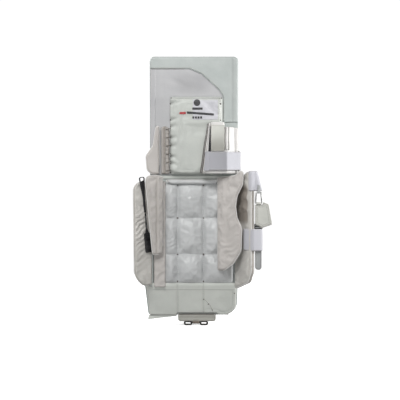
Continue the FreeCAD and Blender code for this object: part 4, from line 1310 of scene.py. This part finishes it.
def make_break_covers():
    """Soft leather that bridges the knee break and the boot break at the back and closes the notches in
    front, bending with the sections."""
    half = HALF_WIDTH - 20
    knee = Panel(box_corners(-half, half, 437.2, 449.0, 1.5), SHIN, dome(2.6, 1.4), flat_back(0.0), 3.0)
    cover = knee.build("knee_break_strip", LEATHER)
    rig.blend(cover, "shin", "thigh_rise", (0, BACK_Y, 0.440), (0, BACK_Y, 0.4485))
    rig.slot(cover, "soft_leather")
    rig.replaces(cover, "break_strips")
    make_boot_bridge()
    notch, boot_notch = radians(7.0) * 0.82, radians(17.0) * 0.8
    gussets = (
        ("knee_gusset", "thigh_rise", KNEE_Z / MM, notch + radians(THIGH_LEAN) * 0.4, notch, 51.0, 1),
        ("boot_gusset", "boot", BOOT_Z / MM, boot_notch, boot_notch, 44.0, -1),
    )
    columns = np.linspace(4 - HALF_WIDTH, HALF_WIDTH - 4, 47)
    for name, body, about, up, down, deep, sign in gussets:
        shape = [(6.0, -1), (deep * 0.5, -1), (deep, -1), (deep * 0.62, -0.4), (deep * 0.55, 0),
                 (deep * 0.62, 0.4), (deep, 1), (deep * 0.5, 1), (6.0, 1)]
        verts = [(x, about + sign * reach * tan(up if share > 0 else down) * share
                  + 0.6 * sin(x / 9.0) * (1 - abs(share)), -reach) for x in columns for reach, share in shape]
        gusset = mesh_object(name, to_frame(SHIN, verts), skin(len(shape), len(columns)), FACE)
        ends = [(0, BACK_Y + 0.03, about * MM + sign * past) for past in (-0.006, 0.006)]
        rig.blend(gusset, "shin", body, *ends)
        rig.slot(gusset, "face_leather")


def make_boot_bridge():
    """The cover that runs on from the cushion to the boot's back pads, over the boot break."""
    half, low, high = HALF_WIDTH - 4, 88.0, 110.0

    def surface(points, depth):
        seams = sum(bump(points[:, 0], seam, 2.6) for seam in COLUMNS)
        sides = unit((half - np.abs(points[:, 0])) / 4.0) ** 0.5
        return 8.0 * sides - 2.0 * seams + unevenness(points, 28, 0.8, 20.0) * sides

    def shade(points, _):
        return 0.3 * sum(bump(points[:, 0], seam, 1.6) for seam in COLUMNS)

    panel = Panel(box_corners(-half, half, low, high, 2), SHIN, surface, lambda p, d: 1.0 - surface(p, d),
                  3.6, shade)
    bridge = panel.build("boot_bridge", BRIGHTENED_BOOT_LEATHER)
    spots = plane_points(bridge, SHIN)
    hinge = np.array([0, BOOT_Z / MM, 0])
    share = smooth(-6.0, 8.0, BOOT_Z / MM - spots[:, 1])
    turn = radians(BOOT_TILT) * share
    offset = spots - hinge
    up = offset[:, 1] * np.cos(turn) - offset[:, 2] * np.sin(turn)
    back = offset[:, 2] * np.cos(turn) + offset[:, 1] * np.sin(turn)
    bent = np.column_stack([offset[:, 0], up, back]) + hinge
    bridge.data.vertices.foreach_set("co", to_frame(SHIN, bent).astype(np.float32).ravel())
    bridge.data.update()
    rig.padded(bridge, 0.5)
    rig.blend(bridge, "shin", "boot", (0, BACK_Y, 0.110), (0, BACK_Y, 0.096))
    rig.slot(bridge, "soft_leather")


# Outer wing, flap and buckle strap.

def sew_flap(body, panel, material, nodes, fill_level, held, cloth, piping, hem, both=True):
    """A wing or flap whose cover swells and wrinkles, with piping round its edge and a stitched hem."""
    pad = panel.build(body + "_pad", material)
    depth = distance(plane_points(pad, panel.place)[:, :2], panel.line)
    settle(panel, pad, 1 - smooth(3.0, held, depth), 1.2, *cloth)
    finish(pad, body, "soft_leather", nodes, fill_level)
    for name, run, radius in piping:
        finish(tube(body + name, run, radius, PIPE), body, "soft_leather")
    line = inset(panel.line, hem)
    rows = [panel.on_leg_side(line, 0.2)] + ([panel.on_far_side(line, 0.2)] if both else [])
    finish(stitches(body + "_stitching", rows, THREAD_LIGHT), body, "soft_leather")


def wing_nodes(wing):
    """The CAD nodes of a calf wing."""
    return [f"{wing}_{part}" for part in ("inner_layer", "outer_layer", "stiffener")]


def make_outer_wing():
    """The outer calf wing with its wrinkled cover, and the flap over it."""
    outline = [(0, 104, 2), (30, 104, 24), (62, 132, 56), (66, 424, 26), (34, 426, 12), (0, 422, 2)]
    leg = padding(6.3, 6.5, (24, 1.4, 8.0), folds=lambda p: ripples(p, (48, 272), (20, 58), -42, 13, 2.8)
                  + ripples(p, (44, 190), (22, 40), -30, 17, 0.9))
    panel = Panel(outline, OUTER_WING, leg, padding(6.3, 6.5, (30, 0.9, 12.0)), 4.0)
    sew_flap("outer_wing", panel, WING, wing_nodes("outer_wing"), 0.75, 8.0, (0.035, 2.0),
             [("_piping", panel.edge(0.02, 0.97), 2.0)], 7.5)
    flap = [(0, 201, 2), (34, 202, 5), (58, 424, 60), (55, 445, 12), (16, 447, 14), (0, 442, 2)]
    leg = padding(5.2, 6.0, (20, 1.2, 3.0), folds=lambda p: 2.0 * bump(p[:, 0], 14, 6.5)
                  - 1.6 * bump(p[:, 0], 22, 3.6) + ripples(p, (30, 390), (18, 60), 70, 20, 0.8))
    # Painted shade in the groove of the fold at a = 22.
    panel = Panel(flap, OUTER_FLAP, leg, dome(5.2, 6.0), 3.6, lambda p, _: 0.4 * bump(p[:, 0], 22, 3.6))
    sew_flap("outer_flap", panel, SOFT, ("outer_flap",), 0.7, 7.0, (0.035, 1.8),
             [("_piping", panel.edge(0.03, 0.96), 2.2)], 6.0, both=False)
    make_buckle_strap()


def make_buckle_strap():
    """The black strap on the outer wing: a folded loop, a hanging end and its buckle."""
    x_sewn, z_sewn, face = 29.0, 330.0, 6.5
    about = Matrix.Translation((x_sewn, z_sewn, 0))
    place = OUTER_WING @ about @ Matrix.Rotation(radians(-6.0), 4, "Z") @ about.inverted()
    standing = place @ Matrix(((1, 0, 0, 0), (0, 0, 1, 0), (0, 1, 0, 0), (0, 0, 0, 1)))
    bend, foot, top = 4.4, z_sewn + 2, z_sewn + 112
    corners = [(x_sewn - 1.2, foot, 0), (x_sewn - 2.2, foot + 47, 60), (x_sewn - 7.5, top, bend - 0.1),
               (x_sewn + 9.5, top, bend - 0.1), (x_sewn + 2.4, foot + 47, 60), (x_sewn + 1.2, foot, 0)]
    loop = ribbon("buckle_loop_band", strap_path(corners, 2.0), face, face + 6.2, 2.6, standing, WEB_BLACK,
                  1.5)
    finish(loop, "outer_wing", "black_webbing", ("buckle_strap_loop",))
    wedge = Panel([(x_sewn - 1.4, foot, 0.6), (x_sewn + 1.4, foot, 0.6), (x_sewn + 3.0, foot + 47, 20),
                   (x_sewn + 8.4, top - 14, 1), (x_sewn - 6.6, top - 9, 1), (x_sewn - 2.6, foot + 47, 20)],
                  place, lambda p, d: face + 1.8 + dome(2.2, 1.4)(p, d), flat_back(face - 0.6), 2.2)
    finish(wedge.build("buckle_loop_fold", WEB_BLACK), "outer_wing", "black_webbing")
    half, low = 10.0, z_sewn - 124
    webbing = Panel([(x_sewn - half, low + 4, 2), (x_sewn + half, low + 4, 2), (x_sewn + half, low + 54, 6),
                     (x_sewn + 3.2, low + 74, 14), (x_sewn + 2.4, z_sewn, 2), (x_sewn - 2.4, z_sewn, 2),
                     (x_sewn - 3.2, low + 74, 14), (x_sewn - half, low + 54, 6)], place,
                    lambda p, d: face + 3.8 + dome(1.3, 1.2)(p, d) + 0.3 * np.sin(p[:, 1] / 17),
                    flat_back(face + 3.2), 2.6)
    finish(webbing.build("buckle_webbing_band", WEB_BLACK), "buckle_strap", "black_webbing",
           ("buckle_strap_webbing",))
    edges = []
    for a in (x_sewn - 1.1, x_sewn + 1.1):
        edges.append(webbing.on_leg_side(upright_run(a, low + 78, z_sewn - 4), 0.1))
    finish(stitches("buckle_webbing_stitching", edges, WEB_GREY, radius=0.35), "buckle_strap",
           "black_webbing")
    base = face + 3.9
    shell = Panel(box_corners(x_sewn - half - 2, x_sewn + half + 2, low, low + 62, 4), place,
                  lambda p, d: base + dome(4.0, 2.6)(p, d)
                  - 1.5 * np.exp(-((p[:, 1] - low - 40) / 4.0) ** 2) * unit((d - 3) / 2)
                  + 0.9 * np.exp(-((p[:, 1] - low - 22) / 9.0) ** 2) * unit((d - 3) / 3),
                  flat_back(base - 0.4), 2.2)
    finish(shell.build("buckle_shell", PLASTIC), "buckle_strap", "black_plastic", ("strap_buckle",))
    bar = [(x_sewn - half + 2 + 18 * t, low + 45.5, base + 4.3) for t in np.linspace(0, 1, 9)]
    finish(tube("buckle_bar", to_frame(place, bar), 1.3, PLASTIC), "buckle_strap", "black_plastic")


# Inner wing, flap, straps, ring and tab.

WING_REACH = 108.0
STRAP_RIGHT, STRAP_DEPTH = 206.0, -112.0
RING_X, RING_TOP, RING_BOTTOM = 195.0, 394.0, 361.0
TAB_RIGHT = 235.0


def make_inner_wing():
    """The inner calf wing and the wide flap inside it."""
    outline = [(0, 92, 2), (88, 121, 26), (WING_REACH, 156, 36), (WING_REACH, 456, 16), (78, 456, 16),
               (56, 446, 16), (0, 438, 2)]
    leg_pad = padding(6.8, 6.5, (28, 1.1, 4.0), folds=lambda p: ripples(p, (60, 170), (40, 40), 30, 19, 0.8))
    far_pad = padding(6.8, 6.5, (34, 1.1, 14.0))

    def leg(points, depth):
        return leg_pad(points, depth) - 1.7 * bump(points[:, 0], 94, 2.0) * smooth(3, 9, depth)

    def far(points, depth):
        return far_pad(points, depth) - 1.2 * bump(points[:, 1], 300, 2.2) * smooth(3, 9, depth)

    def shade(points, _):
        a, b = points[:, 0], points[:, 1]
        hollow = smooth(290, 312, b) * (1 - smooth(404, 424, b)) * (1 - smooth(80, 92, a))
        return np.maximum(0.3 * bump(a, 94, 2.0), 0.85 * hollow)

    panel = Panel(outline, INNER_WING, leg, far, 4.2, shade)
    piping = []
    for name, height in (("_piping_leg", 4.16), ("_piping_far", -4.16)):
        rim = inset(panel.line, 1.2)
        rim = rim[rim[:, 0] > 4.0]
        cut = int(np.argmax(np.linalg.norm(np.diff(rim, axis=0), axis=1))) + 1
        piping.append((name, raised(INNER_WING, np.roll(rim, -cut, 0), height), 1.5))
    sew_flap("inner_wing", panel, WING, wing_nodes("inner_wing"), 0.75, 8.0, (0.03, 1.6), piping, 8.0)
    flap = [(0, 150, 5), (24, 153, 18), (58, 176, 30), (86, 214, 30), (89, 284, 20), (71, 318, 26),
            (66, 352, 30), (72, 384, 30), (92, 418, 30), (95, 458, 8), (80, 458, 9), (68, 446, 12),
            (0, 440, 2)]

    def folds(points):
        a, b = points[:, 0], points[:, 1]
        bend = 2.4 * bump(a - 20, 0.05 * (b - 300), 9) - 1.4 * bump(a, 36, 7)
        return bend + (ripples(points, (52, 345), (22, 60), 64, 22, 1.0) + ripples(points, (50, 215),
                                                                                   (26, 34), 24, 17, 0.8))

    panel = Panel(flap, INNER_FLAP, padding(5.1, 6.0, (22, 1.2, 9.0), folds=folds),
                  padding(5.1, 6.0, (26, 0.8, 10.0)), 3.8)
    sew_flap("inner_flap", panel, SOFT, ("inner_flap",), 0.7, 7.0, (0.035, 1.8),
             [("_piping", panel.edge(0.03, 0.96), 2.1)], 6.0)


def wing_corner(a, height, radius=0.0):
    """A corner in the pad's own section (x, height) of a point in the inner wing's frame."""
    x, y, _ = (np.array(INNER_WING) @ np.array([a, 0, height, 1]))[:3]
    return (x / MM, (BACK_Y - y) / MM, radius)


def make_calf_straps():
    """Elastic bands round the inner wing's edge, the strap's tail and slider, and the ring's fold."""
    half = 7.0 + 1.25
    straps = (("upper_calf_strap", 99, 398, 458, 15.0, [(1.2, half), (1.2, -half)]),
              ("lower_calf_strap", 66, 218, 284, 0.0, [(7.0, half - 4.5)]))
    for name, start, low, high, taper, rim in straps:
        corners = [wing_corner(start, half), *[wing_corner(WING_REACH + past, side, 3) for past, side in rim],
                   (STRAP_RIGHT, -STRAP_DEPTH + 1.25, 7), (STRAP_RIGHT - 2, -STRAP_DEPTH - 26, 9),
                   wing_corner(WING_REACH - 44, -half)]
        path = resample(strap_path(corners), 90, closed=False)
        tight = [(a - taper * smooth(184, 200, a), c, r) for a, c, r in corners]
        top_path = resample(strap_path(tight), 90, closed=False)
        band = ribbon(name + "_band", path, low, high, 2.4, SHIN, ELASTIC, bulge=0.6, top_path=top_path)
        finish(band, "inner_wing", "white_elastic", (name,))
        rows = [beside(SHIN, path + (top_path - path) * share, low + share * (high - low), side)
                for share in (0.04, 0.96) for side in (1.35, -1.35)]
        finish(stitches(name + "_stitching", rows, THREAD_LIGHT), "inner_wing", "white_elastic")
    left, right, height = RING_X - 10.3, RING_X + 9.3, 107.2
    tail = Panel([(left, 161, 9), (right, 161, 9), (right, 296, 1), (left, 296, 1)], SHIN,
                 lambda p, d: height + dome(1.2, 1.2)(p, d) + 0.35 * np.sin(p[:, 1] / 9),
                 flat_back(height - 1.2), 2.6)
    finish(tail.build("calf_strap_tail_band", WEB_GREY), "inner_wing", "grey_webbing", ("calf_strap_tail",))
    rows = [tail.on_leg_side(inset(tail.line, 2.4), 0.15)]
    finish(stitches("calf_strap_tail_stitching", rows, THREAD_DARK), "inner_wing", "grey_webbing")
    slider = frame_loop(left - 1.4, right + 1.4, 285.2, 297.8, height + 0.6, 2.0)
    finish(tube("calf_slider_frame", slider, 1.7, PLASTIC, closed=True), "inner_wing", "black_plastic",
           ("calf_strap_slider",))
    bar = straight((left - 1.4, 291.5, height + 2.6), (right + 1.4, 291.5, height + 2.6), 12)
    finish(tube("calf_slider_bar", to_frame(SHIN, bar), 1.4, PLASTIC), "inner_wing", "black_plastic")
    make_ring_and_tab()


def frame_loop(left, right, low, high, height, radius):
    """A closed rounded rectangle at one height, in the shin's plane, in the CAD frame."""
    return raised(SHIN, rounded(box_corners(left, right, low, high, radius), 1.5), height)


def make_ring_and_tab():
    """The webbing fold that holds the wire ring, the ring, and the leather tab that hangs from it."""
    height = -STRAP_DEPTH + 1.25
    corners = [(RING_X - 7, RING_TOP, 2.2), (RING_X + 7, RING_TOP, 2.2), (RING_X + 9.5, RING_BOTTOM, 2.2),
               (RING_X - 9.5, RING_BOTTOM, 2.2)]
    line = rounded(corners, 1.2)
    ring = tube("strap_ring_wire", raised(SHIN, line, height), 2.2, RING_STEEL, closed=True, sides=14)
    finish(ring, "strap_ring", "ring_steel", ("strap_ring",))
    turn = [(height + 2.8 * cos(t), RING_TOP + 2.8 * sin(t)) for t in np.linspace(-pi * 0.95, pi * 0.22, 22)]
    path = [(height + 3.4, RING_TOP + 21), (height + 3.0, RING_TOP + 12)] + turn[::-1]
    fold = flat_band("ring_fold_band", path, 4.4, 1.3, RING_X, WEB_GREY)
    finish(fold, "inner_wing", "grey_webbing", ("ring_fold",))
    left, right, low = RING_X - 10.5, TAB_RIGHT, 300.0
    shoulder = RING_X + 12.8
    outline = [(left, low - 2, 3), (left + 22, low - 13, 4), (right, low - 1, 4),
               (right - 10, RING_BOTTOM - 3, 4), (shoulder, RING_BOTTOM + 4, 1.5),
               (shoulder, RING_BOTTOM - 3.2, 1), (left, RING_BOTTOM - 3.2, 3)]
    tab = Panel(outline, SHIN, lambda p, d: height + dome(2.0, 1.8)(p, d) + 0.5 * np.sin(p[:, 0] / 11),
                lambda p, d: -height + dome(1.6, 1.8)(p, d) - 0.5 * np.sin(p[:, 0] / 11), 2.8)
    finish(tab.build("strap_tab_leather", TAB), "strap_tab", "soft_leather", ("strap_tab",), 0.1)
    edge = [(left + 17, low - 12.2, height - 2.4), (right - 1, low - 1.8, height - 1.6),
            (right - 3, low + 8, height - 1)]
    finish(tube("strap_tab_edge", to_frame(SHIN, edge), 2.2, PIPE), "strap_tab", "soft_leather")
    rows = [tab.on_leg_side(inset(tab.line, amount), 0.2) for amount in (3.0, 7.5)]
    rows.append(tab.on_far_side(inset(tab.line, 3.0), 0.2))
    finish(stitches("strap_tab_stitching", rows, THREAD_DARK), "strap_tab", "soft_leather")
    loop = [(height + 3.0 * cos(t), RING_BOTTOM + 3.0 * sin(t))
            for t in np.linspace(-pi * 0.42, pi * 1.42, 26)]
    path = [(height + 1.6, RING_BOTTOM - 7)] + loop + [(height - 1.6, RING_BOTTOM - 7)]
    sleeve = flat_band("strap_tab_sleeve", path, 6.4, 1.4, RING_X, TAB)
    finish(sleeve, "strap_tab", "soft_leather")


def flat_band(name, path, half, thickness, middle, material):
    """A band across its path of (height, b) in the shin's plane, half a width to each side of middle."""
    upright = SHIN @ Matrix(((0, 0, 1, middle), (0, 1, 0, 0), (1, 0, 0, 0), (0, 0, 0, 1)))
    path = np.array(path)
    shape = [(-half, -0.2), (-half + 0.5, -0.5), (half - 0.5, -0.5), (half, -0.2), (half, 0.2),
             (half - 0.5, 0.5), (-half + 0.5, 0.5), (-half, 0.2)]
    verts = [(*(point + side * share * thickness), across) for point, side in zip(path, normals(path, False))
             for across, share in shape]
    return mesh_object(name, to_frame(upright, verts), skin(len(shape), len(path)), material)


# Boot and toe.

def make_boot_back():
    """The cover over the boot's centre panel and side pads with its seams, and the sole's loose edge."""
    low, high, notch = -4.0, 101.0, 3.5
    outer = HALF_WIDTH - 3.5
    outline = [(-outer - 7.5, low, 5), (-56, low, 2), (-54, notch, 2), (73, notch, 2), (75, low, 2),
               (outer - 2, low, 40), (outer, high, 3), (-outer - 16, high, 3)]

    def surface(points, depth):
        seams = sum(bump(points[:, 0], seam, 2.2) for seam in COLUMNS)
        right = points[:, 0] > COLUMNS[1] + 4
        hem = 1.6 * bump(depth, 13, 1.6) * (right & (points[:, 1] < 80))
        soft = unevenness(points, 28, 0.8, 20.0) * unit(depth / 6)
        near_top = smooth(high - 6, high, points[:, 1])
        edge = np.maximum(dome(7.6, 5.0)(points, depth), 7.0 * near_top * unit(depth / 1.5))
        return edge + soft - 2.0 * seams - hem

    def shade(points, depth):
        seams = sum(bump(points[:, 0], seam, 1.5) for seam in COLUMNS)
        return 0.3 * seams + 0.3 * bump(depth, 13, 1.4) * (points[:, 0] > 80)

    panel = Panel(outline, BOOT, surface, flat_back(0.2), 3.6, shade)
    nodes = ("boot_centre_panel", "boot_outer_pad", "boot_inner_pad")
    finish(panel.build("boot_back_cover", BRIGHTENED_BOOT_LEATHER), "boot", "soft_leather", nodes, 0.7)
    rows = [np.array([(seam + side * 3.2, b) for b in np.arange(notch + 5, high - 2, 3.0)])
            for seam in COLUMNS for side in (1, -1)]
    rows.append(inset(panel.line, 4.0))
    finish(stitches("boot_stitching", [panel.on_leg_side(row, 0.1) for row in rows], THREAD_LIGHT), "boot",
           "soft_leather")
    path = rounded([(30, 56, 0), (41, 46, 40), (54, 27, 40), (61, 7, 0)], 3.0, closed=False)
    finish(stitches("boot_curved_seam", [panel.on_leg_side(path, 0.2)], THREAD_DARK, 5.2, 3.4, 0.6), "boot",
           "soft_leather")
    finish(knot_cluster("boot_knots", panel, [(31, 53), (46, 37), (58, 16), (128, 76)], 2.2), "boot",
           "soft_leather")
    for name, start, end in (("boot_sole_welt_outer", -141, -57), ("boot_sole_welt_inner", 76, 112)):
        hem = [(start + (end - start) * t, low + 0.4 + 0.5 * sin(t * 5), 1.5) for t in np.linspace(0, 1, 30)]
        finish(tube(name, to_frame(BOOT, hem), 1.2, SEAM), "boot", "soft_leather")
    deep = -(BOOT_Z / MM) * tan(radians(BOOT_TILT)) + 1.4
    flap = Panel([(-149, -14, 1.5), (-56, -3, 1), (-56, 3, 1), (-146, 1, 1)], SHIN,
                 lambda p, d: deep + dome(2.0, 1.6)(p, d) + 0.8 * np.sin(p[:, 0] / 14), flat_back(deep), 3.0)
    finish(flap.build("sole_edge_leather", BRIGHTENED_BOOT_LEATHER), "boot", "soft_leather", ("sole_edge_flap",), 0.1)


def make_toe_bridge():
    """The leather tab behind the sole and the metal bar in its fold."""
    height = (BACK_Y - JOINTS["toe_bridge_swing"]["pos_m"][1]) / MM

    def leg(points, depth):
        fold = 1.5 * bump(points[:, 1], -7.5, 2.4) * unit(depth / 3)
        return height + dome(2.1, 2.0)(points, depth) + unevenness(points, 18, 0.5, 15.0) - fold * 0.6

    # Painted shade: the tab darkened all over, and more along its fold at b = -6.5.
    tab = Panel([(-52, -20, 9), (70, -20, 9), (70, 5.6, 3), (-52, 5.6, 3)], SHIN, leg, lambda p, d: -height
                + dome(2.0, 2.0)(p, d), 2.6, lambda p, d: 0.66 + 0.2 * bump(p[:, 1], -6.5, 3.0))
    finish(tab.build("toe_bridge_leather", TAB), "toe_bridge", "soft_leather", ("toe_bridge_tab",), 0.1)
    top = np.array([(a, 3.2) for a in np.arange(-49, 68, 3.0)])
    finish(tube("toe_bridge_piping", tab.on_leg_side(top, 0.1), 1.2, DARK_PIPE), "toe_bridge", "soft_leather")
    finish(stitches("toe_bridge_stitching", [tab.on_leg_side(inset(tab.line, 3.2), 0.15)], THREAD_DARK),
           "toe_bridge", "soft_leather")
    bar_z = JOINTS["toe_bar_turn"]["pos_m"][2] / MM
    turn = [(height + 3.7 * cos(t), bar_z + 3.7 * sin(t)) for t in np.linspace(-pi * 1.42, pi * 0.42, 26)]
    path = [(height - 1.5, bar_z + 8.5)] + turn + [(height + 1.5, bar_z + 8.5)]
    fold = flat_band("toe_bridge_fold", path, 10.5, 1.3, 6.0, FOLD_BROWN)
    finish(fold, "toe_bridge", "soft_leather")
    middle, reach, rise, wire = 6.0, 36.5, 5.0, 3.0
    shank = [(middle + (reach - 20) * t, bar_z, height) for t in np.linspace(-1, 1, 11)]
    stand_in = tube("toe_bar_shank", to_frame(SHIN, shank), 3.4, BAR_STEEL, sides=14)
    finish(stand_in, "toe_tie_bar", "bar_steel", ("toe_tie_bar",))
    for side, name in ((-1, "toe_bar_eye_outer"), (1, "toe_bar_eye_inner")):
        ends = sorted((middle + side * (reach - 22), middle + side * reach))
        loop = frame_loop(*ends, bar_z - 2 - rise, bar_z - 2 + rise, height, rise - 0.1)
        finish(tube(name, loop, wire, BAR_STEEL, closed=True, sides=12), "toe_tie_bar", "bar_steel")


# Stage.

def area_light(name, where, target, size, power):
    """A square soft light that looks at a point."""
    light = bpy.data.lights.new(name, "AREA")
    light.energy, light.size = power, size
    obj = new_object(name, light)
    obj.location = where
    obj.rotation_mode = "QUATERNION"
    obj.rotation_quaternion = (Vector(target) - Vector(where)).to_track_quat("-Z", "Y")
    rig.stage(obj)


def make_backdrop():
    """A white dome round the studio, which is only seen and neither lights nor shades the object."""
    shell = bmesh.new()
    bmesh.ops.create_icosphere(shell, subdivisions=4, radius=9.0)
    material = bpy.data.materials.new("backdrop_white")
    material.use_nodes = True
    shader = material.node_tree.nodes["Principled BSDF"].inputs
    shader["Base Color"].default_value = (0, 0, 0, 1)
    shader["Emission Color"].default_value = (1, 1, 1, 1)
    shader["Emission Strength"].default_value = 1.02
    backdrop = from_shell(shell, "backdrop", material)
    for ray in ("diffuse", "glossy", "transmission", "volume_scatter", "shadow"):
        setattr(backdrop, "visible_" + ray, False)
    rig.stage(backdrop)


def make_stage():
    """A plain pale floor, soft studio light and the camera."""
    scene = bpy.context.scene
    ring = [(1.5 * cos(t), 0.1 + 1.5 * sin(t), -0.0325) for t in np.linspace(0, 2 * pi, 97)[:-1]]
    look = Surface("studio_floor")
    paper = look.mix(look.texture("Noise", Scale=30.0, Detail=3.0), (0.93, 0.93, 0.93), (0.96, 0.96, 0.96))
    material = look.finish(paper, 0.9, Specular_IOR_Level=0.1, Emission_Color=(1, 1, 1, 1),
                           Emission_Strength=0.45)
    floor = mesh_object("floor", ring, [tuple(range(96))], material)
    floor.visible_diffuse = False
    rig.stage(floor)
    world = bpy.data.worlds.new("studio")
    world.use_nodes = True
    world.node_tree.nodes["Background"].inputs["Color"].default_value = (1, 1, 1, 1)
    world.node_tree.nodes["Background"].inputs["Strength"].default_value = 0.27
    scene.world = world
    make_backdrop()
    area_light("key", (-0.5, -1.75, 1.95), (0, 0, 0.30), 0.9, 37.0)
    area_light("side", (2.4, -0.1, 0.9), (0, 0, 0.40), 0.9, 62.0)
    area_light("low", (0.3, -2.2, 0.15), (0, 0, 0.10), 1.0, 12.0)
    area_light("fill", (-2.2, 0.4, 1.3), (0, 0, 0.4), 1.4, 26.0)
    area_light("front", (-1.2, 2.0, 1.9), (0, 0, 0.45), 0.9, 55.0)
    scene.view_settings.view_transform = "Standard"
    camera = bpy.data.cameras.new("camera")
    camera.sensor_width, camera.lens = 36.0, 59.6
    obj = new_object("camera", camera)
    obj.location = (0.019, BACK_Y - 2.1, 0.371)
    obj.rotation_euler = (pi / 2, 0, 0)
    scene.camera = obj


make_sections()
make_thigh_back()
make_knee_landing()
make_knee_block()
make_knee_strap()
make_knee_wing()
make_calf_cushion()
make_outer_wing()
make_inner_wing()
make_calf_straps()
make_boot_back()
make_toe_bridge()
make_stage()
visual_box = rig.bounds()
with open("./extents.json", "w") as out:
    json.dump({"cad": [list(corner) for corner in cad_box],
               "visual": [list(corner) for corner in visual_box]}, out)
